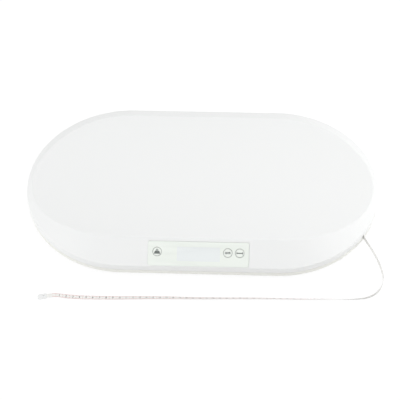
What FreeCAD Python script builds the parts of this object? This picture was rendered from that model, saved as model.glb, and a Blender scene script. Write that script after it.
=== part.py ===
import FreeCAD, Part
import math
import os

from FreeCAD import Placement, Rotation, Vector

# Digital baby weighing scale. Millimetres. The origin is on the ground under the middle of the
# scale, +X to the right, -Y to the side with the display, +Z up.

# ------------------------------------------------------------------ casing
LENGTH = 550.0
WIDTH = 316.0
GROUND_GAP = 8.0           # ground to the underside of the casing
BAND = 19.0                # height of the upright side band
SKIRT_RUN = 35.0           # reach of the sloping skirt inwards
SKIRT_RISE = 26.0          # and upwards
TRAY_DEPTH = 20.0          # long rims down to the tray's middle line
WALL = 3.0
FLOOR = 2.5
PARTING = 8.0              # underside of the casing up to the joint of its two shells
PARTING_GAP = 0.6          # shadow line between the shells
LIP = 1.2                  # tongue of the lower shell that locates the upper one
LIP_HEIGHT = 3.0
RIM_ROUND = 3.0
BAND_ROUND = 1.6
BASE_ROUND = 2.0
FIT = 0.15                 # between fixed pieces that slip together
GAP = 0.3                  # between a moving piece and what it passes
RUNNING = 0.08             # radial play of a shaft in its bore
PRESS = 0.05               # between a screw or fixed pin and its bore

RIB_X = 60.0               # inner ribs across the tray's underside, both sides of the middle
RIB_END = 15.0             # outer ribs, beyond the start of the round ends
RIB_STOP = 11.0            # ribs' ends to the rim
RIB_DEPTH = 6.0
RIB_THICK = 1.6
LABEL_X = -95.0            # bare sunk field for a rating label
LABEL_Y = 0.0
LABEL_LENGTH = 70.0
LABEL_WIDTH = 34.0
LABEL_DEPTH = 0.3

# ------------------------------------------------------------------ display window and keys
WINDOW_SIDE = 13.5         # outermost key's centre to the window's end
WINDOW_THICK = 1.2
WINDOW_START = 1.5         # skirt's lower edge to the window, along the slope
WINDOW_STOP = 5.6          # window to the skirt's upper edge
WINDOW_GROOVE = 0.5
WINDOW_CORNER = 2.5
KEY_RADIUS = 6.2
KEY_GROOVE = 0.6
KEY_PROUD = 0.3
KEY_FLANGE_GRIP = 1.0      # flange beyond the key's hole
KEY_FLANGE = 1.0
KEY_NUB = 0.7
KEY_NUB_RADIUS = 1.8
KEY_TRAVEL = 0.5
KEY_LEVEL = 22.2           # skirt's lower edge to the keys' centres, along the slope
KEY_CLEAR = 0.75           # unit key's flange to the display's frame
KEY_SPACE = 2.2            # between the flanges of the two right-hand keys
ZERO_KEY_OFF = 30.0        # display's view to the zero key's centre

# ------------------------------------------------------------------ display and board
LCD_VIEW_LENGTH = 64.0
LCD_VIEW_HEIGHT = 21.0
LCD_SIDE = 1.5             # glass beyond its view at each end
LCD_MARGIN = 3.0           # and along each long edge
LCD_THICK = 2.0
LCD_LEVEL = 19.3
LCD_FRAME_WALL = 1.6
STRIP_WIDTH = 2.0
BACKLIGHT_THICK = 2.6
BOARD_MARGIN = 0.25        # board beyond the display's frame
BOARD_THICK = 1.6
BOARD_DEPTH = 9.0          # skirt's face to the board's face
BOARD_BOSS_RADIUS = 3.0
BOARD_BOSS_CLEAR = 0.5     # posts to the nearest key's flange
BOARD_SCREW_EDGE = 3.6
SMALL_SHANK = 0.95
SMALL_HEAD_RADIUS = 2.0
SMALL_HEAD = 1.4
SMALL_SCREW_BITE = 4.0
SWITCH_SIDE = 6.0
SWITCH_PLUNGER_RADIUS = 1.7
SWITCH_PLUNGER = 0.6
CHIP_SIDE = 9.0
CHIP_THICK = 1.6
SOCKET_LENGTH = 16.0
SOCKET_HEIGHT = 4.0
SOCKET_DEPTH = 4.5

# ------------------------------------------------------------------ casing screws
SCREW_FROM_FOOT = 50.0     # side screws, inwards from the feet
SCREW_FROM_SIDE = 50.0     # and from the casing's long sides
SCREW_FROM_END = 37.0      # end screws to the casing's ends
SCREW_SHANK = 1.45
SCREW_BITE = 10.0
SCREW_SPARE = 1.0          # bore beyond the screw's point
SCREW_HEAD_RADIUS = 2.9
SCREW_HEAD = 2.0
SCREW_SLOT = 0.8
BOSS_RADIUS = 4.0
PILLAR_WALL = 1.3
PILLAR_WEB = 3.3
BOSS_DROP = 1.0            # bosses reach this far below the shells' joint

# ------------------------------------------------------------------ feet and load cells
FOOT_FROM_END = 115.0      # feet's centres to the casing's ends
FOOT_FROM_SIDE = 60.0      # and to its long sides
FOOT_RADIUS = 19.0
FOOT_LIP = 2.0             # foot's rim around its pad
PAD_THICK = 2.0
PAD_SEAT = 0.8             # depth of the cup's recess for the pad
FOOT_DROP = 0.6            # how far a foot falls when the scale is lifted
FOOT_CLEARANCE = 0.45      # top of the foot to the underside
FOOT_EDGE = 1.5
HUB_RADIUS = 10.0
HUB_LAND = 0.3             # hub above its clip
CLIP_REACH = 2.5           # clip beyond the hub
CLIP_THICK = 1.0
CLIP_GROOVE = 1.0
CLIP_OPENING = 14.0
CELL_SIDE = 34.0
CELL_THICK = 1.3
CELL_FRAME = 6.0
CELL_TONGUE = 12.0
CELL_TONGUE_REACH = 16.0
SEAT_PLAY = 0.5            # round seat to the holder around it
GAUGE_RADIUS = 3.5
GAUGE_THICK = 1.0
HOLDER_WALL = 2.0
HOLDER_PLAY = 2.0
HOLDER_TOP = 1.7
HOLDER_CORNER = 3.0
HOLDER_OPENING = 12.0
CABLE_NOTCH = 6.0

# ------------------------------------------------------------------ battery bay
CELLS = 4
BATTERY_RADIUS = 5.25
BATTERY_LENGTH = 43.5
BATTERY_EDGE = 0.5
BATTERY_NIPPLE = 1.0
BATTERY_NIPPLE_RADIUS = 1.9
BATTERY_SPACE = 0.7        # between neighbouring cells
BATTERY_Y = 40.0
BAY_END = 4.2              # room for the contacts at each end of the cells
BAY_WALL = 1.5
BAY_LEDGE = 1.0            # the box stands this far outside the opening
COVER_THICK = 2.0
COVER_GAP = 0.4
COVER_PIN_RADIUS = 0.6
COVER_PIN = 1.6
CONTACT_THICK = 0.4
CONTACT_SIDE = 7.5
CONTACT_STUD_RADIUS = 1.6
FINGER_RADIUS = 9.0
FINGER_DEPTH = 1.2

# ------------------------------------------------------------------ tape and its reel
TAPE_WIDTH = 7.0
TAPE_THICK = 0.5
TAPE_EXIT_ANGLE = -33.0    # degrees round the right end of the casing
TAPE_HEADING_ANGLE = -56.0  # degrees, the way the tape leaves the slot
TAPE_EXIT_HEIGHT = 8.6     # underside of the casing up to the tape's centre line
SLOT_SIDE = 1.5            # slot beyond the tape's face
SLOT_ENDS = 1.0            # slot beyond the tape's edges
SLOT_REACH = 6.0
GUIDE_NEAR = 6.5           # casing's outer face to the guide, along the tape
GUIDE_LENGTH = 7.5
GUIDE_WIDTH = 8.0
GUIDE_PLAY = 0.6
GUIDE_TOP = 1.0            # guide above its slot
REEL_SETBACK = 50.0        # slot to the point where the tape leaves the coil
COIL_RADIUS = 18.0
HUB_OUTER = 12.2
HUB_WALL = 1.2
FLANGE_EDGE = 4.0          # flanges beyond the coil
FLANGE = 0.9
COLLAR_RADIUS = 5.0
COLLAR = 1.3
AXLE_RADIUS = 2.0
ARBOR_RADIUS = 3.2
CASE_PLAY = 0.8
CASE_WALL = 1.5
CASE_LID = 1.3
SPRING_STRIP = 0.35
SPRING_TURNS = 5.0
SPRING_STEPS = 16          # points of the spring's curve in one turn

# ------------------------------------------------------------------ tape release
BUTTON_REACH = 35.0        # reel's centre to the button
BUTTON_ANGLE = 150.0
BUTTON_RADIUS = 7.0
BUTTON_INSET = 0.5         # the button stands this far inside the underside
BUTTON_FLANGE_REACH = 2.0  # flange beyond the button
BUTTON_FLANGE = 1.2
STEM_RADIUS = 3.5
ARM_WIDTH = 6.0
ARM_THICK = 2.0
BRAKE_RADIUS = 1.8
RETURN_WIRE = 0.6
RETURN_RADIUS = 3.0
RETURN_TURNS = 3.0

# ------------------------------------------------------------------ free end of the tape
TAB_LENGTH = 14.5
TAB_WIDTH = 9.0
TAB_THICK = 1.2
TAB_CORNER = 2.5
RIVET_INSET = 5.0          # tab's inner edge to the rivet
RIVET_RADIUS = 1.6
RIVET_HEAD = 0.35

# Route of the pulled-out tape's centre line: X and Y from the slot, Z from the ground, and how far
# the tape stands up from lying flat, in degrees. It ends at the tab.
TAPE_ROUTE = [
    (9.5, -14.1, 11.8, 90.0),
    (19.1, -30.3, 7.2, 90.0),
    (25.9, -48.5, 4.4, 90.0),
    (29.5, -69.9, 3.7, 90.0),
    (25.1, -90.5, 3.7, 90.0),
    (10.1, -103.9, 3.7, 88.0),
    (-12.5, -107.7, 3.6, 76.0),
    (-44.5, -107.1, 3.3, 60.0),
    (-91.5, -108.3, 3.0, 50.0),
    (-157.5, -107.5, 2.5, 37.0),
    (-235.5, -109.9, 1.8, 23.0),
    (-307.5, -109.3, 1.1, 11.0),
    (-373.5, -111.7, 0.7, 3.0),
    (-421.5, -112.1, 0.5, 0.0),
    (-447.5, -111.3, 1.6, 0.0),
    (-462.9, -111.9, 5.6, 0.0),
    (-473.9, -113.9, 4.0, 0.0),
]

# ------------------------------------------------------------------ internal cables
CABLE = 2.0
LEAD = 1.4
CABLE_REST = 1.5           # cables' centre line above the casing's floor
REAR_LANE = 4.2            # rear cells' cables to the middle, at the board's socket
FRONT_LANE = 6.8           # and the front cells'
# Points of the cables, as shares of the way from the cell to the socket: across, then along.
REAR_CABLE_SHARES = [(0.21, 0.08), (0.44, 0.30), (0.69, 0.58), (0.85, 0.82)]
# Points of the front cables: share of the way across, then how far behind the feet's centres.
FRONT_CABLE_STEPS = [(0.20, 8.0), (0.53, 10.0), (0.80, -4.0)]
# Points of the battery leads: distance from the middle, share of the way, height over the floor.
LEAD_STEPS = [(12.6, 0.0, 4.2), (12.6, 0.14, 4.2), (9.8, 0.34, 1.7), (10.6, 0.57, 1.4), (11.2, 0.79, 1.4)]

# ------------------------------------------------------------------ worked-out sizes
UNDERSIDE_Z = GROUND_GAP
FLOOR_Z = UNDERSIDE_Z + FLOOR
PARTING_Z = UNDERSIDE_Z + PARTING
SKIRT_Z = UNDERSIDE_Z + BAND
RIM_Z = SKIRT_Z + SKIRT_RISE
ABOVE_Z = RIM_Z + RIM_ROUND
END_RADIUS = WIDTH / 2
ARC_X = LENGTH / 2 - END_RADIUS
SLOPE = math.hypot(SKIRT_RUN, SKIRT_RISE)
SLOPE_ANGLE = math.degrees(math.atan2(SKIRT_RISE, SKIRT_RUN))
RIM_Y = END_RADIUS - SKIRT_RUN
TRAY_RADIUS = (RIM_Y ** 2 + TRAY_DEPTH ** 2) / (2 * TRAY_DEPTH)
TRAY_AXIS_Z = RIM_Z - TRAY_DEPTH + TRAY_RADIUS
BOSS_Z = PARTING_Z - BOSS_DROP
RIB_PLACES = (RIB_X, ARC_X + RIB_END)
RIB_REACH = RIM_Y - RIB_STOP
SIDES = {"front_left": (-1, -1), "front_right": (1, -1), "rear_left": (-1, 1), "rear_right": (1, 1)}
FOOT_X = LENGTH / 2 - FOOT_FROM_END
FOOT_Y = END_RADIUS - FOOT_FROM_SIDE
SCREW_X = FOOT_X - SCREW_FROM_FOOT
SCREW_Y = END_RADIUS - SCREW_FROM_SIDE
SCREW_END_X = LENGTH / 2 - SCREW_FROM_END
SCREW_PLACES = [(x * SCREW_X, y * SCREW_Y) for x in (-1, 0, 1) for y in (-1, 1)]
SCREW_PLACES += [(-SCREW_END_X, 0.0), (SCREW_END_X, 0.0)]

LCD_LENGTH = LCD_VIEW_LENGTH + 2 * LCD_SIDE
LCD_HEIGHT = LCD_VIEW_HEIGHT + 2 * LCD_MARGIN
LCD_BACK = WALL + LCD_THICK
LCD_FRAME_LENGTH = LCD_LENGTH + 2 * (FIT + LCD_FRAME_WALL)
LCD_FRAME_HEIGHT = LCD_HEIGHT + 2 * (FIT + LCD_FRAME_WALL)
KEY_HOLE_RADIUS = KEY_RADIUS + KEY_GROOVE
KEY_FLANGE_RADIUS = KEY_HOLE_RADIUS + KEY_FLANGE_GRIP
KEY_FLANGE_TOP = WALL + GAP
KEY_END = KEY_FLANGE_TOP + KEY_FLANGE + KEY_NUB
ZERO_KEY_X = -LCD_VIEW_LENGTH / 2 - ZERO_KEY_OFF
UNIT_KEY_X = LCD_FRAME_LENGTH / 2 + KEY_CLEAR + KEY_FLANGE_RADIUS
HOLD_KEY_X = UNIT_KEY_X + 2 * KEY_FLANGE_RADIUS + KEY_SPACE
KEYS = {"zero_key": ZERO_KEY_X, "unit_key": UNIT_KEY_X, "hold_key": HOLD_KEY_X}
KEY_SPAN = max(-ZERO_KEY_X, HOLD_KEY_X)
WINDOW_LENGTH = 2 * (KEY_SPAN + WINDOW_SIDE)
WINDOW_HEIGHT = SLOPE - WINDOW_START - WINDOW_STOP
BOARD_SCREW_X = KEY_SPAN + KEY_FLANGE_RADIUS + BOARD_BOSS_CLEAR + BOARD_BOSS_RADIUS
BOARD_LENGTH = 2 * (BOARD_SCREW_X + BOARD_SCREW_EDGE)
BOARD_HEIGHT = LCD_FRAME_HEIGHT + 2 * BOARD_MARGIN
BOARD_BACK = BOARD_DEPTH + BOARD_THICK
SWITCH_TOP = KEY_END + KEY_TRAVEL + GAP

CUP_TOP = UNDERSIDE_Z - FOOT_CLEARANCE
PAD_RADIUS = FOOT_RADIUS - FOOT_LIP
CLIP_RADIUS = HUB_RADIUS + CLIP_REACH
CLIP_Z = FLOOR_Z + FOOT_DROP + GAP
HUB_TOP = CLIP_Z + CLIP_THICK + HUB_LAND
CELL_Z = HUB_TOP + GAP
CELL_TOP = CELL_Z + CELL_THICK
CELL_SEAT_RADIUS = CELL_SIDE / 2 + HOLDER_PLAY - SEAT_PLAY

COVER_TOP = UNDERSIDE_Z + COVER_THICK
BATTERY_Z = COVER_TOP + GAP + BATTERY_RADIUS
BATTERY_PITCH = 2 * BATTERY_RADIUS + BATTERY_SPACE
BAY_X = BATTERY_LENGTH / 2 + BATTERY_NIPPLE + BAY_END
BAY_HALF_Y = CELLS * BATTERY_PITCH / 2
BAY_TOP = BATTERY_Z + BATTERY_RADIUS + GAP
OPENING_X = BAY_X - BAY_LEDGE
OPENING_HALF_Y = BAY_HALF_Y - BAY_LEDGE
COVER_PIVOT_R = COVER_THICK / 2
COVER_PIVOT_X = OPENING_X - COVER_GAP - COVER_PIVOT_R
COVER_PIVOT_Z = UNDERSIDE_Z + COVER_PIVOT_R

TAPE_Z = UNDERSIDE_Z + TAPE_EXIT_HEIGHT
SLOT_LOW = TAPE_Z - TAPE_WIDTH / 2 - SLOT_ENDS
SLOT_HIGH = TAPE_Z + TAPE_WIDTH / 2 + SLOT_ENDS
SLOT_HALF = TAPE_THICK / 2 + SLOT_SIDE
EXIT = Vector(
    ARC_X + END_RADIUS * math.cos(math.radians(TAPE_EXIT_ANGLE)),
    END_RADIUS * math.sin(math.radians(TAPE_EXIT_ANGLE)),
    TAPE_Z,
)
TAPE_POINTS = [EXIT] + [Vector(EXIT.x + x, EXIT.y + y, z) for x, y, z, _ in TAPE_ROUTE]
TAPE_LEANS = [90.0] + [lean for _, _, _, lean in TAPE_ROUTE]
TAPE_HEADING = math.radians(TAPE_HEADING_ANGLE)
HEADING = Vector(math.cos(TAPE_HEADING), math.sin(TAPE_HEADING), 0)
INWARD = Vector(HEADING.y, -HEADING.x, 0)
REEL = EXIT - HEADING * REEL_SETBACK + INWARD * (COIL_RADIUS + GAP + TAPE_THICK / 2)
FLANGE_RADIUS = COIL_RADIUS + FLANGE_EDGE
FLANGE_LOW = TAPE_Z - TAPE_WIDTH / 2 - GAP
FLANGE_HIGH = TAPE_Z + TAPE_WIDTH / 2 + GAP
REEL_LOW = FLANGE_LOW - FLANGE
REEL_HIGH = FLANGE_HIGH + FLANGE
CASE_FLOOR_TOP = REEL_LOW - GAP
LID_Z = REEL_HIGH + GAP
LID_TOP = LID_Z + CASE_LID
CASE_INNER = FLANGE_RADIUS + CASE_PLAY
CASE_OUTER = CASE_INNER + CASE_WALL
HUB_INNER = HUB_OUTER - HUB_WALL
ARM_Z = LID_TOP + GAP
ARM_TOP = ARM_Z + ARM_THICK
BUTTON_FLANGE_RADIUS = BUTTON_RADIUS + BUTTON_FLANGE_REACH
BUTTON_X = REEL.x + BUTTON_REACH * math.cos(math.radians(BUTTON_ANGLE))
BUTTON_Y = REEL.y + BUTTON_REACH * math.sin(math.radians(BUTTON_ANGLE))
BRAKE_REACH = (COIL_RADIUS + FLANGE_RADIUS) / 2
BRAKE_X = REEL.x + BRAKE_REACH * math.cos(math.radians(BUTTON_ANGLE))
BRAKE_Y = REEL.y + BRAKE_REACH * math.sin(math.radians(BUTTON_ANGLE))
CABLE_Z = FLOOR_Z + CABLE_REST


# ------------------------------------------------------------------ shapes
def save(node, shape):
    """Write one sub-part."""
    shape.exportStep("parts/" + node + ".step")
    print(f"{node:24s} solids {len(shape.Solids):2d}  volume {shape.Volume:10.1f}  {shape.isValid()}")


def block(x0, x1, y0, y1, z0, z1):
    """Box between two corners."""
    return Part.makeBox(x1 - x0, y1 - y0, z1 - z0, Vector(x0, y0, z0))


def centred(x, y, length, width, z0, z1):
    """Box centred on x, y."""
    return block(x - length / 2, x + length / 2, y - width / 2, y + width / 2, z0, z1)


def rod(x, y, z0, z1, radius):
    """Upright cylinder."""
    return Part.makeCylinder(radius, z1 - z0, Vector(x, y, z0))


def ring(x, y, z0, z1, inner, outer):
    """Upright tube."""
    return rod(x, y, z0, z1, outer).cut(rod(x, y, z0, z1, inner))


def together(shapes):
    """Fuse shapes and merge their shared faces."""
    first, rest = shapes[0], shapes[1:]
    return first.fuse(rest).removeSplitter() if rest else first


def apart(shapes):
    """Keep separate solids in one sub-part."""
    return Part.makeCompound([solid for shape in shapes for solid in shape.Solids])


def round_corners(shape, radius):
    """Round the upright edges of a block."""
    upright = [e for e in shape.Edges if abs(abs(e.tangentAt(e.FirstParameter).z) - 1) < 1e-6]
    return shape.makeFillet(radius, upright)


def on_skirt(shape):
    """Move a shape from the front skirt's own axes (along, up the slope, outwards) into place."""
    moved = shape.copy()
    moved.Placement = Placement(
        Vector(0, -END_RADIUS, SKIRT_Z), Rotation(Vector(1, 0, 0), SLOPE_ANGLE)
    ).multiply(moved.Placement)
    return moved


def on_tape(shape):
    """Move a shape from the tape's own axes (along it outwards, to its left, up) to the slot."""
    moved = shape.copy()
    moved.Placement = Placement(
        Vector(EXIT.x, EXIT.y, 0), Rotation(Vector(0, 0, 1), math.degrees(TAPE_HEADING))
    ).multiply(moved.Placement)
    return moved


def stadium(inset, z0, z1):
    """Upright prism of the casing's outline, moved inwards."""
    radius = END_RADIUS - inset
    middle = block(-ARC_X, ARC_X, -radius, radius, z0, z1)
    return together([middle, rod(-ARC_X, 0, z0, z1, radius), rod(ARC_X, 0, z0, z1, radius)])


def casing_volume(inset, bottom):
    """Band and skirt moved inwards, with the tray's hollow still filled."""
    radius = END_RADIUS - inset
    knee = SKIRT_Z + inset * (SKIRT_RISE - SLOPE) / SKIRT_RUN
    top_radius = END_RADIUS - ((ABOVE_Z - SKIRT_Z) * SKIRT_RUN + inset * SLOPE) / SKIRT_RISE
    half = [(0, bottom), (radius, bottom), (radius, knee), (top_radius, ABOVE_Z), (0, ABOVE_Z)]
    section = [(-s, z) for s, z in half[-2:0:-1]] + half[1:-1]
    profile = Part.makePolygon([Vector(-ARC_X, s, z) for s, z in section + section[:1]])
    middle = Part.Face(profile).extrude(Vector(2 * ARC_X, 0, 0))
    turned = Part.makePolygon([Vector(s, 0, z) for s, z in half + half[:1]])
    end = Part.Face(turned).revolve(Vector(0, 0, 0), Vector(0, 0, 1), 360)
    ends = [end.translated(Vector(side * ARC_X, 0, 0)) for side in (-1, 1)]
    return together([middle] + ends)


def tray_hollow(inset):
    """Long cylinder that scoops out the tray."""
    start = Vector(-LENGTH, 0, TRAY_AXIS_Z)
    return Part.makeCylinder(TRAY_RADIUS + inset, 2 * LENGTH, start, Vector(1, 0, 0))


def casing_core(inset, bottom):
    """Casing volume under the tray, moved inwards on every side but the bottom."""
    return casing_volume(inset, bottom).cut(tray_hollow(inset))


def tray_underside(y):
    """Height of the tray's lower face at y."""
    return TRAY_AXIS_Z - math.sqrt((TRAY_RADIUS + WALL) ** 2 - y ** 2)


def rim_edges(shape):
    """Edges where the tray meets the skirt."""
    faces = [
        f for f in shape.Faces
        if isinstance(f.Surface, Part.Cylinder) and abs(f.Surface.Radius - TRAY_RADIUS) < 0.01
    ]
    return [e for f in faces for e in f.OuterWire.Edges]


def level_edges(shape, z):
    """Edges that lie at one height."""
    return [
        e for e in shape.Edges
        if abs(e.BoundBox.ZMin - z) < 0.01 and abs(e.BoundBox.ZMax - z) < 0.01
    ]


# ------------------------------------------------------------------ upper shell
def top_shell():
    """Tray, skirt and upper band in one moulding."""
    start = PARTING_Z + PARTING_GAP
    outer = casing_core(0, start)
    outer = outer.makeFillet(min(RIM_ROUND, 1.5 * WALL), rim_edges(outer))
    outer = outer.makeFillet(min(BAND_ROUND, 0.9 * WALL), level_edges(outer, SKIRT_Z))
    shell = outer.cut(casing_core(WALL, start - WALL))
    shell = shell.cut(stadium(WALL - LIP - FIT, start, PARTING_Z + LIP_HEIGHT))
    shell = together([shell] + tray_ribs() + casing_bosses() + board_bosses())
    cuts = [window_recess(), on_skirt(lcd_opening())]
    cuts += [on_skirt(rod(x, KEY_LEVEL, -2 * WALL, WALL, KEY_HOLE_RADIUS)) for x in KEYS.values()]
    cuts += [tape_slot()]
    return shell.cut(cuts)


def tray_ribs():
    """Ribs across the underside of the tray."""
    layer = tray_hollow(WALL + RIB_DEPTH).cut(tray_hollow(WALL / 2))
    half = RIB_THICK / 2
    return [
        block(side * x - half, side * x + half, -RIB_REACH, RIB_REACH, FLOOR_Z, RIM_Z).common(layer)
        for x in RIB_PLACES for side in (-1, 1)
    ]


def casing_bosses():
    """Hollow posts under the tray that take the casing screws."""
    inside = casing_core(WALL / 2, BOSS_Z)
    bore_end = BOSS_Z + SCREW_BITE + SCREW_SPARE
    bosses = []
    for x, y in SCREW_PLACES:
        post = rod(x, y, BOSS_Z, ABOVE_Z, BOSS_RADIUS).common(inside)
        bosses.append(post.cut(rod(x, y, BOSS_Z, bore_end, SCREW_SHANK + PRESS)))
    return bosses


def board_places():
    """Centres of the board's four screws on the skirt."""
    up = BOARD_HEIGHT / 2 - BOARD_SCREW_EDGE
    return [(x * BOARD_SCREW_X, LCD_LEVEL + y * up) for x in (-1, 1) for y in (-1, 1)]


def board_bosses():
    """Posts behind the skirt that carry the board."""
    bosses = []
    for x, y in board_places():
        post = rod(x, y, -BOARD_DEPTH, -WALL / 2, BOARD_BOSS_RADIUS)
        bosses.append(on_skirt(post.cut(rod(x, y, -BOARD_DEPTH, -WALL, SMALL_SHANK + PRESS))))
    return bosses


def window_outline(grow, w0, w1):
    """Rounded window shape on the skirt's axes."""
    middle = WINDOW_START + WINDOW_HEIGHT / 2
    shape = centred(0, middle, WINDOW_LENGTH + 2 * grow, WINDOW_HEIGHT + 2 * grow, w0, w1)
    return round_corners(shape, WINDOW_CORNER + grow)


def window_recess():
    """Shallow pocket for the window, with its groove."""
    return on_skirt(window_outline(WINDOW_GROOVE, -WINDOW_THICK, WALL))


def lcd_opening():
    """Hole behind the window for the display's view."""
    return centred(0, LCD_LEVEL, LCD_VIEW_LENGTH, LCD_VIEW_HEIGHT, -2 * WALL, 0)


def tape_slot():
    """Slot through the band for the tape."""
    return on_tape(block(-SLOT_REACH, SLOT_REACH, -SLOT_HALF, SLOT_HALF, SLOT_LOW, SLOT_HIGH))


# ------------------------------------------------------------------ lower shell
def base_shell():
    """Pan with the foot seats, battery opening and screw pillars."""
    outer = stadium(0, UNDERSIDE_Z, PARTING_Z)
    outer = outer.makeFillet(min(BASE_ROUND, 0.8 * FLOOR), level_edges(outer, UNDERSIDE_Z))
    pan = outer.cut(stadium(WALL, FLOOR_Z, PARTING_Z))
    lip_top = PARTING_Z + LIP_HEIGHT - FIT
    lip = stadium(WALL - LIP, PARTING_Z, lip_top).cut(stadium(WALL, PARTING_Z, lip_top))
    seats = [
        rod(x * FOOT_X, y * FOOT_Y, FLOOR_Z, CELL_Z, CELL_SEAT_RADIUS) for x, y in SIDES.values()
    ]
    pillars = [
        rod(x, y, FLOOR_Z, BOSS_Z, SCREW_HEAD_RADIUS + GAP + PILLAR_WALL) for x, y in SCREW_PLACES
    ]
    pan = together([pan, lip] + seats + pillars)
    return pan.cut(base_cuts())


def base_cuts():
    """Everything that goes through or into the lower shell."""
    cuts = [tape_slot()]
    for x, y in SCREW_PLACES:
        cuts.append(rod(x, y, 0, BOSS_Z - PILLAR_WEB, SCREW_HEAD_RADIUS + GAP))
        cuts.append(rod(x, y, 0, BOSS_Z, SCREW_SHANK + GAP))
    for x, y in SIDES.values():
        cuts.append(rod(x * FOOT_X, y * FOOT_Y, 0, FLOOR_Z, HUB_RADIUS + GAP))
        cuts.append(rod(x * FOOT_X, y * FOOT_Y, FLOOR_Z, CELL_Z, CLIP_RADIUS + 2 * GAP))
    cuts.append(centred(0, BATTERY_Y, 2 * OPENING_X, 2 * OPENING_HALF_Y, 0, FLOOR_Z))
    cuts.append(cover_pins(COVER_PIN + GAP, RUNNING))
    cuts.append(rod(-OPENING_X, BATTERY_Y, 0, UNDERSIDE_Z + FINGER_DEPTH, FINGER_RADIUS))
    cuts.append(rod(BUTTON_X, BUTTON_Y, 0, FLOOR_Z, BUTTON_RADIUS + GAP))
    cuts.append(centred(LABEL_X, LABEL_Y, LABEL_LENGTH, LABEL_WIDTH, 0, UNDERSIDE_Z + LABEL_DEPTH))
    return cuts


def casing_screw(x, y):
    """Pan-head screw with a crossed slot, driven from below."""
    seat = BOSS_Z - PILLAR_WEB
    shank = rod(x, y, seat, BOSS_Z + SCREW_BITE, SCREW_SHANK)
    head = rod(x, y, seat - SCREW_HEAD, seat, SCREW_HEAD_RADIUS)
    slots = [
        centred(x, y, 1.5 * SCREW_HEAD_RADIUS, SCREW_SLOT, 0, seat - SCREW_HEAD / 2),
        centred(x, y, SCREW_SLOT, 1.5 * SCREW_HEAD_RADIUS, 0, seat - SCREW_HEAD / 2),
    ]
    return together([shank, head]).cut(slots)


# ------------------------------------------------------------------ display, keys and board
def display_window():
    """Flush clear panel with a hole for each key."""
    panel = window_outline(0, -WINDOW_THICK, 0)
    holes = [rod(x, KEY_LEVEL, -WALL, WALL, KEY_HOLE_RADIUS) for x in KEYS.values()]
    return on_skirt(panel.cut(holes))


def key(x):
    """Round key cap with a flange that holds it behind the skirt."""
    cap = rod(x, KEY_LEVEL, -KEY_FLANGE_TOP, KEY_PROUD, KEY_RADIUS)
    cap = cap.makeChamfer(KEY_PROUD, level_edges(cap, KEY_PROUD))
    flange = rod(x, KEY_LEVEL, -KEY_FLANGE_TOP - KEY_FLANGE, -KEY_FLANGE_TOP, KEY_FLANGE_RADIUS)
    nub = rod(x, KEY_LEVEL, -KEY_END, -KEY_FLANGE_TOP - KEY_FLANGE, KEY_NUB_RADIUS)
    return on_skirt(together([cap, flange, nub]))


def lcd_glass():
    """Display glass behind the skirt."""
    return on_skirt(centred(0, LCD_LEVEL, LCD_LENGTH, LCD_HEIGHT, -LCD_BACK, -WALL))


def lcd_backlight():
    """Light guide behind the glass, between the contact strips."""
    height = LCD_HEIGHT - 2 * STRIP_WIDTH - 2 * GAP
    back = LCD_BACK + BACKLIGHT_THICK
    return on_skirt(centred(0, LCD_LEVEL, LCD_VIEW_LENGTH, height, -back, -LCD_BACK))


def contact_strips():
    """Rubber strips that join the glass to the board."""
    offset = (LCD_HEIGHT - STRIP_WIDTH) / 2
    return on_skirt(apart([
        centred(0, LCD_LEVEL + side * offset, LCD_VIEW_LENGTH, STRIP_WIDTH, -BOARD_DEPTH, -LCD_BACK)
        for side in (-1, 1)
    ]))


def lcd_frame():
    """Frame that holds glass, backlight and strips on the board."""
    length, height = LCD_LENGTH + 2 * FIT, LCD_HEIGHT + 2 * FIT
    outer = centred(0, LCD_LEVEL, LCD_FRAME_LENGTH, LCD_FRAME_HEIGHT, -BOARD_DEPTH, -WALL)
    return on_skirt(outer.cut(centred(0, LCD_LEVEL, length, height, -BOARD_DEPTH, -WALL)))


def display_board():
    """Circuit board behind the skirt, with its screw holes."""
    board = centred(0, LCD_LEVEL, BOARD_LENGTH, BOARD_HEIGHT, -BOARD_BACK, -BOARD_DEPTH)
    holes = [rod(x, y, -BOARD_BACK, -BOARD_DEPTH, SMALL_SHANK + GAP) for x, y in board_places()]
    return on_skirt(board.cut(holes))


def socket_point(x, off):
    """Point at a distance off the cable socket's face."""
    up = LCD_LEVEL - BOARD_HEIGHT / 2 + SOCKET_HEIGHT
    return on_skirt(Part.Vertex(x, up, -BOARD_BACK - SOCKET_DEPTH - off)).Point


def board_chips():
    """Controller, converter and the cable socket on the board's back."""
    back = -BOARD_BACK
    level = LCD_LEVEL + CHIP_SIDE / 2
    controller = centred(-CHIP_SIDE, level, CHIP_SIDE, CHIP_SIDE, back - CHIP_THICK, back)
    converter = centred(2 * CHIP_SIDE, level, CHIP_SIDE / 2, CHIP_SIDE, back - CHIP_THICK, back)
    socket_level = LCD_LEVEL - BOARD_HEIGHT / 2 + SOCKET_HEIGHT
    socket = centred(0, socket_level, SOCKET_LENGTH, SOCKET_HEIGHT, back - SOCKET_DEPTH, back)
    return on_skirt(apart([controller, converter, socket]))


def key_switches():
    """Three push switches under the keys, each with its plunger."""
    switches = []
    for x in KEYS.values():
        top = -SWITCH_TOP - SWITCH_PLUNGER
        body = centred(x, KEY_LEVEL, SWITCH_SIDE, SWITCH_SIDE, -BOARD_DEPTH, top)
        plunger = rod(x, KEY_LEVEL, top, -SWITCH_TOP, SWITCH_PLUNGER_RADIUS)
        switches.append(together([body, plunger]))
    return on_skirt(apart(switches))


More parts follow.
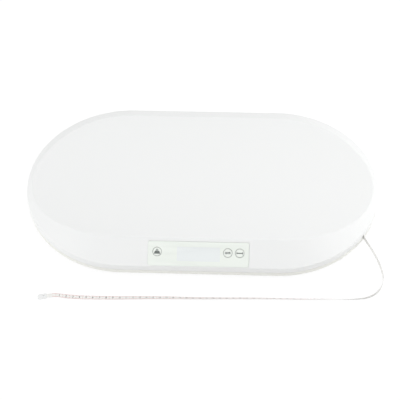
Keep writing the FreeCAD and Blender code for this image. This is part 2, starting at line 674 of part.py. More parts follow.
def board_screws():
    """Four screws that hold the board to its posts."""
    screws = []
    for x, y in board_places():
        head = rod(x, y, -BOARD_BACK - SMALL_HEAD, -BOARD_BACK, SMALL_HEAD_RADIUS)
        shank = rod(x, y, -BOARD_BACK, -BOARD_DEPTH + SMALL_SCREW_BITE, SMALL_SHANK)
        screws.append(together([head, shank]))
    return on_skirt(apart(screws))


# ------------------------------------------------------------------ feet and load cells
def foot_cup(x, y):
    """Foot with the hub that presses on the load cell."""
    cup = rod(x, y, PAD_THICK - PAD_SEAT, CUP_TOP, FOOT_RADIUS)
    cup = cup.makeFillet(FOOT_EDGE, level_edges(cup, CUP_TOP))
    hub = rod(x, y, CUP_TOP, HUB_TOP, HUB_RADIUS)
    groove = ring(x, y, CLIP_Z, CLIP_Z + CLIP_THICK, HUB_RADIUS - CLIP_GROOVE, HUB_RADIUS)
    recess = rod(x, y, 0, PAD_THICK, PAD_RADIUS)
    return together([cup, hub]).cut([groove, recess])


def foot_pad(x, y):
    """Rubber disc under the foot."""
    pad = rod(x, y, 0, PAD_THICK, PAD_RADIUS)
    return pad.makeFillet(PAD_SEAT, level_edges(pad, 0))


def foot_clip(x, y):
    """Split ring that keeps the foot in the casing."""
    clip = ring(x, y, CLIP_Z, CLIP_Z + CLIP_THICK, HUB_RADIUS - CLIP_GROOVE, CLIP_RADIUS)
    opening = centred(x + CLIP_RADIUS, y, 2 * CLIP_RADIUS, CLIP_OPENING, CLIP_Z, CELL_Z)
    return clip.cut(opening)


def load_cell(x, y):
    """Stamped steel plate with a bending tongue, and its covered gauge."""
    plate = centred(x, y, CELL_SIDE, CELL_SIDE, CELL_Z, CELL_TOP)
    plate = round_corners(plate, CELL_FRAME / 2)
    window = CELL_SIDE - 2 * CELL_FRAME
    plate = plate.cut(centred(x, y, window, window, CELL_Z, CELL_TOP))
    low = y - window / 2
    side = CELL_TONGUE / 2
    tongue = block(x - side, x + side, low, low + CELL_TONGUE_REACH, CELL_Z, CELL_TOP)
    gauge = rod(x, low + CELL_TONGUE / 2, CELL_TOP, CELL_TOP + GAUGE_THICK, GAUGE_RADIUS)
    return together([plate, tongue, gauge])


def cell_holder(x, y):
    """Cap that clamps the load cell's rim onto its seat."""
    pocket = CELL_SIDE + 2 * HOLDER_PLAY
    width = pocket + 2 * HOLDER_WALL
    outer = centred(x, y, width, width, FLOOR_Z, CELL_TOP + HOLDER_TOP)
    outer = round_corners(outer, HOLDER_CORNER)
    inner = centred(x, y, pocket, pocket, FLOOR_Z, CELL_TOP)
    opening = rod(x, y, CELL_TOP, CELL_TOP + HOLDER_TOP, HOLDER_OPENING)
    towards = -math.copysign(pocket / 2 + HOLDER_WALL, x)
    notch = centred(x + towards, y, 3 * HOLDER_WALL, CABLE_NOTCH, FLOOR_Z, FLOOR_Z + 2 * CABLE_REST)
    return outer.cut([inner, opening, notch])


# ------------------------------------------------------------------ battery bay
def battery_box():
    """Box over the battery opening."""
    length, width = 2 * (BAY_X + BAY_WALL), 2 * (BAY_HALF_Y + BAY_WALL)
    outer = centred(0, BATTERY_Y, length, width, FLOOR_Z, BAY_TOP + BAY_WALL)
    inner = centred(0, BATTERY_Y, 2 * BAY_X, 2 * BAY_HALF_Y, FLOOR_Z, BAY_TOP)
    return outer.cut(inner)


def battery_places():
    """Y of each cell, and which way its raised end points."""
    start = BATTERY_Y - (CELLS - 1) * BATTERY_PITCH / 2
    return [(start + i * BATTERY_PITCH, 1 - 2 * (i % 2)) for i in range(CELLS)]


def battery_cells():
    """Round cells lying side by side, alternate ways round."""
    cells = []
    for y, way in battery_places():
        low = Vector(-way * BATTERY_LENGTH / 2, y, BATTERY_Z)
        can = Part.makeCylinder(BATTERY_RADIUS, BATTERY_LENGTH, low, Vector(way, 0, 0))
        can = can.makeFillet(BATTERY_EDGE, [e for e in can.Edges if e.Closed])
        high = Vector(way * BATTERY_LENGTH / 2, y, BATTERY_Z)
        nipple = Part.makeCylinder(BATTERY_NIPPLE_RADIUS, BATTERY_NIPPLE, high, Vector(way, 0, 0))
        cells.append(together([can, nipple]))
    return apart(cells)


def battery_contacts():
    """Contact plates on both end walls, each with a spring stud that reaches its cell."""
    contacts = []
    for y, way in battery_places():
        for side in (-1, 1):
            face = side * BAY_X
            plate = centred(face - side * CONTACT_THICK / 2, y, CONTACT_THICK, CONTACT_SIDE,
                            BATTERY_Z - CONTACT_SIDE / 2, BATTERY_Z + CONTACT_SIDE / 2)
            reach = BAY_X - BATTERY_LENGTH / 2 - CONTACT_THICK
            if side == way:
                reach -= BATTERY_NIPPLE
            start = Vector(face - side * CONTACT_THICK, y, BATTERY_Z)
            stud = Part.makeCylinder(CONTACT_STUD_RADIUS, reach, start, Vector(-side, 0, 0))
            contacts.append(together([plate, stud]))
    return apart(contacts)


def cover_pins(reach, grow):
    """Pins at both ends of the cover's rounded edge."""
    half = OPENING_HALF_Y - COVER_GAP
    start = Vector(COVER_PIVOT_X, BATTERY_Y - half - reach, COVER_PIVOT_Z)
    return Part.makeCylinder(COVER_PIN_RADIUS + grow, 2 * (half + reach), start, Vector(0, 1, 0))


def battery_cover():
    """Flush cover on the underside, pivoting on pins at its right edge."""
    half = OPENING_HALF_Y - COVER_GAP
    left = COVER_GAP - OPENING_X
    plate = block(left, COVER_PIVOT_X, BATTERY_Y - half, BATTERY_Y + half, UNDERSIDE_Z, COVER_TOP)
    start = Vector(COVER_PIVOT_X, BATTERY_Y - half, COVER_PIVOT_Z)
    barrel = Part.makeCylinder(COVER_PIVOT_R, 2 * half, start, Vector(0, 1, 0))
    return together([plate, barrel, cover_pins(COVER_PIN, 0)])


# ------------------------------------------------------------------ tape reel and its case
def at_reel(shape):
    """Move a shape from the reel's centre line into place."""
    return shape.translated(Vector(REEL.x, REEL.y, 0))


def tape_case():
    """Round cup on the casing's floor, open where the tape leaves."""
    cup = rod(0, 0, FLOOR_Z, LID_Z, CASE_OUTER).cut(rod(0, 0, CASE_FLOOR_TOP, LID_Z, CASE_INNER))
    cup = at_reel(cup.cut(rod(0, 0, FLOOR_Z, LID_Z, AXLE_RADIUS + PRESS)))
    start = COIL_RADIUS / 2 - REEL_SETBACK
    way_out = block(start, -GUIDE_NEAR, -SLOT_HALF, SLOT_HALF, CASE_FLOOR_TOP, LID_Z)
    return cup.cut(on_tape(way_out))


def tape_case_lid():
    """Lid with a spigot that centres the reel and a hole for the brake."""
    spigot = rod(0, 0, FLANGE_HIGH, LID_Z, HUB_INNER - RUNNING)
    lid = together([rod(0, 0, LID_Z, LID_TOP, CASE_OUTER), spigot])
    lid = at_reel(lid.cut(rod(0, 0, FLANGE_HIGH, LID_TOP, AXLE_RADIUS + PRESS)))
    return lid.cut(rod(BRAKE_X, BRAKE_Y, LID_Z, LID_TOP, BRAKE_RADIUS + GAP))


def reel_axle():
    """Steel pin with a thicker arbor for the spring."""
    pin = rod(0, 0, FLOOR_Z, LID_TOP, AXLE_RADIUS)
    arbor = rod(0, 0, FLANGE_LOW + COLLAR, FLANGE_HIGH - GAP, ARBOR_RADIUS)
    return at_reel(together([pin, arbor]))


def tape_reel():
    """Two flanges on a hollow hub."""
    lower = rod(0, 0, REEL_LOW, FLANGE_LOW, FLANGE_RADIUS)
    collar = rod(0, 0, FLANGE_LOW, FLANGE_LOW + COLLAR - GAP, COLLAR_RADIUS)
    hub = ring(0, 0, FLANGE_LOW, FLANGE_HIGH, HUB_INNER, HUB_OUTER)
    upper = ring(0, 0, FLANGE_HIGH, REEL_HIGH, HUB_INNER, FLANGE_RADIUS)
    reel = together([lower, collar, hub, upper])
    return at_reel(reel.cut(rod(0, 0, REEL_LOW, FLANGE_HIGH, AXLE_RADIUS + RUNNING)))


def tape_coil():
    """Tape still wound on the hub."""
    half = TAPE_WIDTH / 2
    return at_reel(ring(0, 0, TAPE_Z - half, TAPE_Z + half, HUB_OUTER + FIT, COIL_RADIUS))


def spiral(start_radius, end_radius, turns, steps):
    """Flat spiral curve."""
    points = []
    for i in range(steps + 1):
        share = i / steps
        radius = start_radius + (end_radius - start_radius) * share
        angle = 2 * math.pi * turns * share
        points.append(Vector(radius * math.cos(angle), radius * math.sin(angle), 0))
    curve = Part.BSplineCurve()
    curve.interpolate(points)
    return curve.toShape()


def rewind_spring():
    """Flat spiral spring between the arbor and the hub."""
    inner_start = ARBOR_RADIUS + GAP
    inner_end = HUB_INNER - GAP - SPRING_STRIP
    steps = int(SPRING_STEPS * SPRING_TURNS)
    inner = spiral(inner_start, inner_end, SPRING_TURNS, steps)
    outer = spiral(inner_start + SPRING_STRIP, inner_end + SPRING_STRIP, SPRING_TURNS, steps)
    first = Part.makeLine(inner.valueAt(inner.FirstParameter), outer.valueAt(outer.FirstParameter))
    last = Part.makeLine(inner.valueAt(inner.LastParameter), outer.valueAt(outer.LastParameter))
    face = Part.Face(Part.Wire(Part.__sortEdges__([inner, first, outer, last])))
    low = FLANGE_LOW + COLLAR
    strip = face.extrude(Vector(0, 0, FLANGE_HIGH - GAP - low))
    return at_reel(strip.translated(Vector(0, 0, low)))


def tape_guide():
    """Mouthpiece behind the slot."""
    far = -GUIDE_NEAR - GUIDE_LENGTH
    half = GUIDE_WIDTH / 2
    body = block(far, -GUIDE_NEAR, -half, half, FLOOR_Z, SLOT_HIGH + GUIDE_TOP)
    slot_half = TAPE_THICK / 2 + GUIDE_PLAY
    slot = block(far, -GUIDE_NEAR, -slot_half, slot_half, SLOT_LOW, SLOT_HIGH)
    return on_tape(body.cut(slot))


def tape_lead():
    """Run of the tape from the coil to the slot."""
    low, high = TAPE_Z - TAPE_WIDTH / 2, TAPE_Z + TAPE_WIDTH / 2
    return on_tape(block(-REEL_SETBACK, 0, -TAPE_THICK / 2, TAPE_THICK / 2, low, high))


# ------------------------------------------------------------------ tape release
def release_button():
    """Button, stem and the arm that carries the brake pad."""
    cap = rod(BUTTON_X, BUTTON_Y, UNDERSIDE_Z + BUTTON_INSET, FLOOR_Z + GAP, BUTTON_RADIUS)
    cap = cap.makeFillet(BUTTON_INSET, level_edges(cap, UNDERSIDE_Z + BUTTON_INSET))
    flange_top = FLOOR_Z + GAP + BUTTON_FLANGE
    flange = rod(BUTTON_X, BUTTON_Y, FLOOR_Z + GAP, flange_top, BUTTON_FLANGE_RADIUS)
    stem = rod(BUTTON_X, BUTTON_Y, FLOOR_Z + GAP, ARM_TOP, STEM_RADIUS)
    reach = BUTTON_REACH - BRAKE_REACH
    arm = block(0, reach + BRAKE_RADIUS, -ARM_WIDTH / 2, ARM_WIDTH / 2, ARM_Z, ARM_TOP)
    arm.rotate(Vector(0, 0, 0), Vector(0, 0, 1), BUTTON_ANGLE + 180)
    return together([cap, flange, stem, arm.translated(Vector(BUTTON_X, BUTTON_Y, 0))])


def brake_pad():
    """Rubber pad that rests on the reel's upper flange."""
    return rod(BRAKE_X, BRAKE_Y, REEL_HIGH + GAP, ARM_Z, BRAKE_RADIUS)


def release_spring():
    """Coil spring between the arm and the tray."""
    low = ARM_TOP + RETURN_WIRE / 2
    high = tray_underside(abs(BUTTON_Y) - RETURN_RADIUS) - RETURN_WIRE / 2 - GAP
    helix = Part.makeLongHelix((high - low) / RETURN_TURNS, high - low, RETURN_RADIUS)
    section = Part.Wire(Part.makeCircle(RETURN_WIRE / 2, Vector(RETURN_RADIUS, 0, 0), Vector(0, 1, 0)))
    coil = Part.Wire(helix.Edges).makePipeShell([section], True, True)
    return coil.translated(Vector(BUTTON_X, BUTTON_Y, low))


# ------------------------------------------------------------------ cords
def rounded_route(points, label):
    """Runs and tangent arcs along a route, each with its start and end in route steps."""
    pieces = []
    radii = []
    start, start_step = points[0], 0.0
    for i in range(1, len(points) - 1):
        before, after = points[i] - points[i - 1], points[i + 1] - points[i]
        shorter = min(before.Length, after.Length)
        turn = before.getAngle(after)
        tangent = 0.45 * shorter
        radii.append(tangent / math.tan(turn / 2))
        into, out = Vector(before).normalize(), Vector(after).normalize()
        arc_start, arc_end = points[i] - into * tangent, points[i] + out * tangent
        centre = points[i] + (out - into).normalize() * (tangent / math.sin(turn / 2))
        middle = centre + (points[i] - centre).normalize() * radii[-1]
        arc_step = (i - tangent / before.Length, i + tangent / after.Length)
        pieces.append((Part.LineSegment(start, arc_start), start_step, arc_step[0]))
        pieces.append((Part.Arc(arc_start, middle, arc_end), arc_step[0], arc_step[1]))
        start, start_step = arc_end, arc_step[1]
    pieces.append((Part.LineSegment(start, points[-1]), start_step, len(points) - 1.0))
    print(f"{label}: radii " + " ".join(f"{r:.0f}" for r in radii))
    return pieces


def route_length(pieces):
    """Length along the runs and arcs."""
    return sum(curve.length() for curve, _, _ in pieces)


def cable(points, diameter, label):
    """Round cable along a route."""
    pieces = rounded_route(points, label)
    path = Part.Wire([curve.toShape() for curve, _, _ in pieces])
    along = points[1] - points[0]
    section = Part.Wire(Part.makeCircle(diameter / 2, points[0], along))
    solid = path.makePipeShell([section], True, True)
    expected = math.pi * diameter ** 2 / 4 * route_length(pieces)
    print(f"{label}: volume {solid.Volume:.1f}, section times length {expected:.1f}")
    return solid


def tape_section(centre, heading, lean):
    """Outline of the tape across its route, leaning over to the route's left."""
    left = Vector(-heading.y, heading.x, 0).normalize()
    up = Vector(0, 0, 1)
    across = (left * math.cos(lean) + up * math.sin(lean)) * (TAPE_WIDTH / 2)
    through = (up * math.cos(lean) - left * math.sin(lean)) * (TAPE_THICK / 2)
    corners = [across + through, through - across, -across - through, across - through]
    points = [centre + corner for corner in corners]
    return Part.makePolygon(points + points[:1])


def measuring_tape():
    """Pulled-out tape, upright at the slot and flat at its free end."""
    pieces = rounded_route(TAPE_POINTS, "measuring_tape")
    sections = []
    for curve, step0, step1 in pieces:
        shares = (0.0, 0.5) if isinstance(curve, Part.LineSegment) else (0.0, 0.25, 0.5, 0.75)
        for share in shares:
            sections.append(section_at(curve, share, step0, step1))
    curve, step0, step1 = pieces[-1]
    sections.append(section_at(curve, 1.0, step0, step1))
    solid = Part.makeLoft(sections, True, True)
    length = route_length(pieces)
    expected = TAPE_WIDTH * TAPE_THICK * length
    print(f"measuring_tape: length {length:.1f}")
    print(f"measuring_tape: volume {solid.Volume:.1f}, section times length {expected:.1f}")
    return solid


def section_at(curve, share, step0, step1):
    """Tape's outline at a share of one run or arc."""
    parameter = curve.FirstParameter + share * (curve.LastParameter - curve.FirstParameter)
    step = step0 + share * (step1 - step0)
    i = min(int(step), len(TAPE_LEANS) - 2)
    lean = TAPE_LEANS[i] + (TAPE_LEANS[i + 1] - TAPE_LEANS[i]) * (step - i)
    return tape_section(curve.value(parameter), Vector(*curve.tangent(parameter)[0]), math.radians(lean))


def on_tape_end(shape):
    """Move a shape from the tab's own axes (along, to the left, up) to the tape's free end."""
    last, before = TAPE_POINTS[-1], TAPE_POINTS[-2]
    run = last - before
    turn = Rotation(Vector(0, 0, 1), math.degrees(math.atan2(run.y, run.x)))
    dip = Rotation(Vector(0, 1, 0), -math.degrees(math.atan2(run.z, math.hypot(run.x, run.y))))
    moved = shape.copy()
    moved.Placement = Placement(last, turn.multiply(dip)).multiply(moved.Placement)
    return moved


def tape_end_tab():
    """Flat plastic tab on the tape's free end."""
    half = TAB_THICK / 2
    tab = round_corners(block(0, TAB_LENGTH, -TAB_WIDTH / 2, TAB_WIDTH / 2, -half, half), TAB_CORNER)
    return on_tape_end(tab.cut(rod(RIVET_INSET, 0, -TAB_THICK, TAB_THICK, RIVET_RADIUS / 2 + PRESS)))


def tape_end_rivet():
    """Rivet through the tab."""
    half = TAB_THICK / 2
    heads = [
        rod(RIVET_INSET, 0, half, half + RIVET_HEAD, RIVET_RADIUS),
        rod(RIVET_INSET, 0, -half - RIVET_HEAD, -half, RIVET_RADIUS),
    ]
    return on_tape_end(together([rod(RIVET_INSET, 0, -half, half, RIVET_RADIUS / 2)] + heads))


def socket_run(x):
    """Last points of a cable, turning up into the board's socket."""
    plug, near = socket_point(x, 0), socket_point(x, 2 * SOCKET_DEPTH)
    return [Vector(x, near.y + 3 * SOCKET_DEPTH, CABLE_Z), near, plug]


def cell_cables():
    """Cable from each load cell to the board's socket."""
    start_x = FOOT_X - CELL_SIDE / 2 - HOLDER_PLAY
    cables = []
    for node, (side, end) in SIDES.items():
        lane = REAR_LANE if end > 0 else FRONT_LANE
        run = socket_run(side * lane)
        points = [Vector(side * start_x, end * FOOT_Y, CABLE_Z)]
        if end > 0:
            along = FOOT_Y - run[0].y
            for share_x, share_y in REAR_CABLE_SHARES:
                x = start_x - share_x * (start_x - lane)
                points.append(Vector(side * x, FOOT_Y - share_y * along, CABLE_Z))
        else:
            for share_x, behind in FRONT_CABLE_STEPS:
                x = start_x - share_x * (start_x - lane)
                points.append(Vector(side * x, behind - FOOT_Y, CABLE_Z))
        cables.append(cable(points + run, CABLE, "cell_cable_" + node))
    return apart(cables)


def battery_leads():
    """Two leads from the battery box to the board's socket."""
    box_y = BATTERY_Y - BAY_HALF_Y - BAY_WALL
    leads = []
    for side in (-1, 1):
        run = socket_run(side * LEAD)
        along = box_y - run[0].y
        points = [
            Vector(side * x, box_y - share * along, FLOOR_Z + height)
            for x, share, height in LEAD_STEPS
        ]
        leads.append(cable(points + run, LEAD, "battery_lead"))
    return apart(leads)


# ------------------------------------------------------------------ all sub-parts
def sub_parts():
    """Every node's name and shape."""
    parts = {
        "top_shell": top_shell(),
        "base_shell": base_shell(),
        "casing_screws": apart([casing_screw(x, y) for x, y in SCREW_PLACES]),
        "display_window": display_window(),
        "lcd_glass": lcd_glass(),
        "lcd_backlight": lcd_backlight(),
        "lcd_contact_strips": contact_strips(),
        "lcd_frame": lcd_frame(),
        "display_board": display_board(),
        "board_chips": board_chips(),
        "board_screws": board_screws(),
        "key_switches": key_switches(),
        "battery_box": battery_box(),
        "battery_cells": battery_cells(),
        "battery_contacts": battery_contacts(),
        "battery_cover": battery_cover(),
        "battery_leads": battery_leads(),
        "cell_cables": cell_cables(),
        "tape_case": tape_case(),
        "tape_case_lid": tape_case_lid(),
        "tape_guide": tape_guide(),
        "reel_axle": reel_axle(),
        "tape_reel": tape_reel(),
        "tape_coil": tape_coil(),
        "rewind_spring": rewind_spring(),
        "tape_lead": tape_lead(),
        "release_button": release_button(),
        "brake_pad": brake_pad(),
        "release_spring": release_spring(),
        "measuring_tape": measuring_tape(),
        "tape_end_tab": tape_end_tab(),
        "tape_end_rivet": tape_end_rivet(),
    }
    parts.update({name: key(x) for name, x in KEYS.items()})
    for side, (x, y) in SIDES.items():
        place = (x * FOOT_X, y * FOOT_Y)
        parts["foot_cup_" + side] = foot_cup(*place)
        parts["foot_pad_" + side] = foot_pad(*place)
        parts["foot_clip_" + side] = foot_clip(*place)
        parts["load_cell_" + side] = load_cell(*place)
        parts["cell_holder_" + side] = cell_holder(*place)
    return parts


os.makedirs("parts", exist_ok=True)
for name, shape in sub_parts().items():
    save(name, shape)
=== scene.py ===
"""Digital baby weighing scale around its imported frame. Pieces are in mm, finishes and studio in metres."""

import logging
import math
from bisect import bisect
from collections.abc import Iterable, Sequence
from dataclasses import dataclass, field
from enum import Enum
from functools import reduce

import bmesh
import bpy
from mathutils import Matrix, Vector


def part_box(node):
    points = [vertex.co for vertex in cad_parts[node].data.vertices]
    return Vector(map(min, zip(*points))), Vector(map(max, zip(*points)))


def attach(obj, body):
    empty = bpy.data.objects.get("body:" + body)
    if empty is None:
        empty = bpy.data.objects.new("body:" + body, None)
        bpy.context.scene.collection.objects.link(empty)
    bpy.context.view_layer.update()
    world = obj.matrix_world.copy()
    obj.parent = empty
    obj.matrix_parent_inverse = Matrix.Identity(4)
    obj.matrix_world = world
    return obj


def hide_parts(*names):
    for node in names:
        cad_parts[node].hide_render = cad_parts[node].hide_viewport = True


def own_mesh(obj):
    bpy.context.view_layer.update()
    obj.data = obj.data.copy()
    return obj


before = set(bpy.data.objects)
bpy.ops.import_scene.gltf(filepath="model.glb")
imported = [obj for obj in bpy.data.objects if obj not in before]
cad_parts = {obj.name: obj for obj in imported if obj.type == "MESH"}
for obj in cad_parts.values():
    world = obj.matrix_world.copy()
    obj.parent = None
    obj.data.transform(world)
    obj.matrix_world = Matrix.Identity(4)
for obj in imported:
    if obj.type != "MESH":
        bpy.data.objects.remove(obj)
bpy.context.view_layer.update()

LOG = logging.getLogger("baby_scale")
MM = 0.001
MERGE = 1e-7
CREASE = math.radians(32.0)
BUMP_DEPTH = 0.0004
NOISE_SPREAD = (0.3, 0.7)
CORNER_STEPS = 6
EDGE_STEPS = 2
SMALL_STEPS = 32
SIDES = ("front_left", "front_right", "rear_left", "rear_right")
KEYS = ("zero_key", "unit_key", "hold_key")
Triple = tuple[float, float, float]
Loop = list[tuple[float, float]]
Shape = bmesh.types.BMesh
Socket = bpy.types.NodeSocket
Surface = tuple[Socket, Socket, Socket]  # colour, roughness and height


# ---------------------------------------------------------------- node trees
class Group(Enum):
    """Effects that several materials share, each a node group built once."""

    GRAIN = "surface_grain"
    SCRATCHES = "fine_scratches"
    BRUSHED = "brushed_metal"
    BOX = "box_mask"
    WEAVE = "cloth_weave"


class Tree:
    """Adds and joins nodes in one node tree."""

    def __init__(self, tree: bpy.types.NodeTree) -> None:
        """Keep the tree to work on."""
        self.tree = tree

    def add(self, kind: str, settings: dict | None = None, **sockets: object) -> bpy.types.Node:
        """Add a node and fill its sockets.

        Args:
            kind: Node type without its ShaderNode prefix.
            settings: Properties of the node.
            sockets: Value or output socket for each input, with _ for a space, or iN for input N.

        Returns:
            The new node.
        """
        node = self.tree.nodes.new("ShaderNode" + kind)
        for name, value in (settings or {}).items():
            setattr(node, name, value)
        for name, value in sockets.items():
            key = int(name[1:]) if name[0] == "i" and name[1:].isdigit() else name.replace("_", " ")
            if isinstance(value, Socket):
                self.tree.links.new(value, node.inputs[key])
            else:
                node.inputs[key].default_value = value
        return node

    def effect(self, kind: Group, **sockets: object) -> bpy.types.NodeOutputs:
        """Place a shared effect with its own values and return its outputs."""
        return self.add("Group", {"node_tree": bpy.data.node_groups[kind.value]}, **sockets).outputs

    def send(self, ends: dict[str, Socket], **values: Socket) -> None:
        """Join values to a group's output sockets by name."""
        for name, value in values.items():
            self.tree.links.new(value, ends[name])

    def where(self, kind: str = "Object") -> Socket:
        """Return the piece's own coordinates."""
        return self.add("TexCoord").outputs[kind]

    def moved(self, where: Socket, **how: Triple) -> Socket:
        """Return a place moved, turned or stretched."""
        return self.add("Mapping", Vector=where, **how).outputs[0]

    def parts(self, where: Socket) -> bpy.types.NodeOutputs:
        """Return the three numbers of a place."""
        return self.add("SeparateXYZ", Vector=where).outputs

    def maths(self, operation: str, a: object, b: object = 0.0) -> Socket:
        """Return the result of a Math node."""
        return self.add("Math", {"operation": operation}, i0=a, i1=b).outputs[0]

    def vector(self, operation: str, a: object, b: object = (0.0, 0.0, 0.0)) -> Socket:
        """Return the result of a Vector Math node."""
        return self.add("VectorMath", {"operation": operation}, i0=a, i1=b).outputs[0]

    def largest(self, values: Iterable[Socket]) -> Socket:
        """Return the largest of several values."""
        return reduce(lambda a, b: self.maths("MAXIMUM", a, b), values)

    def mix(self, share: object, a: object, b: object) -> Socket:
        """Return the mix of two colours."""
        return self.add("Mix", {"data_type": "RGBA"}, i0=share, i6=a, i7=b).outputs[2]

    def span(self, value: object, low: object, high: object, start: object, end: object) -> Socket:
        """Return a value moved from one range, low to high, to another, start to end."""
        sockets = {"i0": value, "i1": low, "i2": high, "i3": start, "i4": end}
        return self.add("MapRange", {"clamp": True}, **sockets).outputs[0]

    def noise(self, where: Socket, scale: object, detail: float = 2.0) -> Socket:
        """Return a noise value at a place."""
        return self.add("TexNoise", Vector=where, Scale=scale, Detail=detail).outputs[0]


def bare_tree(owner: bpy.types.Material | bpy.types.World) -> Tree:
    """Give a material or world an empty node tree.

    Args:
        owner: The material or world.

    Returns:
        Its node tree.
    """
    owner.use_nodes = True
    owner.node_tree.nodes.clear()
    return Tree(owner.node_tree)


def new_group(kind: Group, inputs: dict[str, str], outputs: dict[str, str]) -> tuple[Tree, dict, dict]:
    """Start a node group with named sockets.

    Args:
        kind: Which effect it is.
        inputs: Socket type for each input's name.
        outputs: Socket type for each output's name.

    Returns:
        The group's tree, its input sockets and its output node's sockets.
    """
    group = bpy.data.node_groups.new(kind.value, "ShaderNodeTree")
    for direction, sockets in (("INPUT", inputs), ("OUTPUT", outputs)):
        for name, socket in sockets.items():
            group.interface.new_socket(name=name, in_out=direction, socket_type="NodeSocket" + socket)
    start = group.nodes.new("NodeGroupInput")
    end = group.nodes.new("NodeGroupOutput")
    return Tree(group), {n: start.outputs[n] for n in inputs}, {n: end.inputs[n] for n in outputs}


def grain_group() -> None:
    """Build the even moulded surface: slow colour patches and a fine grain."""
    inputs = {"Color": "Color", "Tint": "Color", "Patch Scale": "Float", "Patch Amount": "Float",
              "Grain Scale": "Float", "Roughness Low": "Float", "Roughness High": "Float"}
    outputs = {"Color": "Color", "Roughness": "Float", "Height": "Float"}
    tree, given, out = new_group(Group.GRAIN, inputs, outputs)
    where = tree.where()
    share = tree.maths("MULTIPLY", tree.noise(where, given["Patch Scale"]), given["Patch Amount"])
    grain = tree.noise(where, given["Grain Scale"], detail=3.0)
    rough = tree.span(grain, *NOISE_SPREAD, given["Roughness Low"], given["Roughness High"])
    tree.send(out, Color=tree.mix(share, given["Color"], given["Tint"]), Roughness=rough, Height=grain)


def scratches_group() -> None:
    """Build sparse hairline scratches, in two directions."""
    directions, stretch, hairline = (0.5, 2.1), (1.0, 28.0, 1.0), 0.012
    patch_scale, patch_spread = 60.0, (0.55, 0.7)
    tree, given, out = new_group(Group.SCRATCHES, {"Scale": "Float", "Amount": "Float"}, {"Mask": "Float"})
    where = tree.where()
    lines = []
    for turn in directions:
        turned = tree.moved(where, Rotation=(0.0, 0.0, turn), Scale=stretch)
        level = tree.maths("SUBTRACT", tree.noise(turned, given["Scale"], detail=1.0), 0.5)
        lines.append(tree.span(tree.maths("ABSOLUTE", level), 0.0, hairline, 1.0, 0.0))
    sparse = tree.span(tree.noise(where, patch_scale), *patch_spread, 0.0, 1.0)
    mask = tree.maths("MULTIPLY", tree.largest(lines), sparse)
    tree.send(out, Mask=tree.maths("MULTIPLY", mask, given["Amount"]))


def brushed_group() -> None:
    """Build the long fine lines of brushed or drawn metal."""
    inputs = {"Stretch": "Vector", "Roughness Low": "Float", "Roughness High": "Float"}
    tree, given, out = new_group(Group.BRUSHED, inputs, {"Roughness": "Float", "Height": "Float"})
    drawn = tree.vector("MULTIPLY", tree.where(), given["Stretch"])
    lines = tree.noise(drawn, 1.0, detail=4.0)
    rough = tree.span(lines, *NOISE_SPREAD, given["Roughness Low"], given["Roughness High"])
    tree.send(out, Roughness=rough, Height=lines)


def box_group() -> None:
    """Build a mask that is 1 inside a box round a centre and fades out over its edge."""
    inputs = {"Vector": "Vector", "Centre": "Vector", "Half": "Vector", "Edge": "Float"}
    tree, given, out = new_group(Group.BOX, inputs, {"Mask": "Float"})
    size = tree.vector("ABSOLUTE", tree.vector("SUBTRACT", given["Vector"], given["Centre"]))
    past = tree.largest(tree.parts(tree.vector("SUBTRACT", size, given["Half"])))
    tree.send(out, Mask=tree.span(past, 0.0, given["Edge"], 1.0, 0.0))


def weave_group() -> None:
    """Build a plain weave of coated threads from a piece's own UV map."""
    wear_scale, wear_spread = 900.0, (0.35, 0.65)
    tree, given, out = new_group(Group.WEAVE, {"Threads": "Float"}, {"Mask": "Float", "Height": "Float"})
    where = tree.where("UV")
    waves = []
    for part in tuple(tree.parts(where))[:2]:
        phase = tree.maths("MULTIPLY", tree.maths("MULTIPLY", part, given["Threads"]), math.tau)
        waves.append(tree.maths("SINE", phase))
    height = tree.span(tree.maths("MULTIPLY", *waves), -1.0, 1.0, 0.0, 1.0)
    worn = tree.span(tree.noise(where, wear_scale), *wear_spread, 0.0, 1.0)
    tree.send(out, Mask=worn, Height=height)


def build_groups() -> None:
    """Build every shared effect once."""
    for build in (grain_group, scratches_group, brushed_group, box_group, weave_group):
        build()


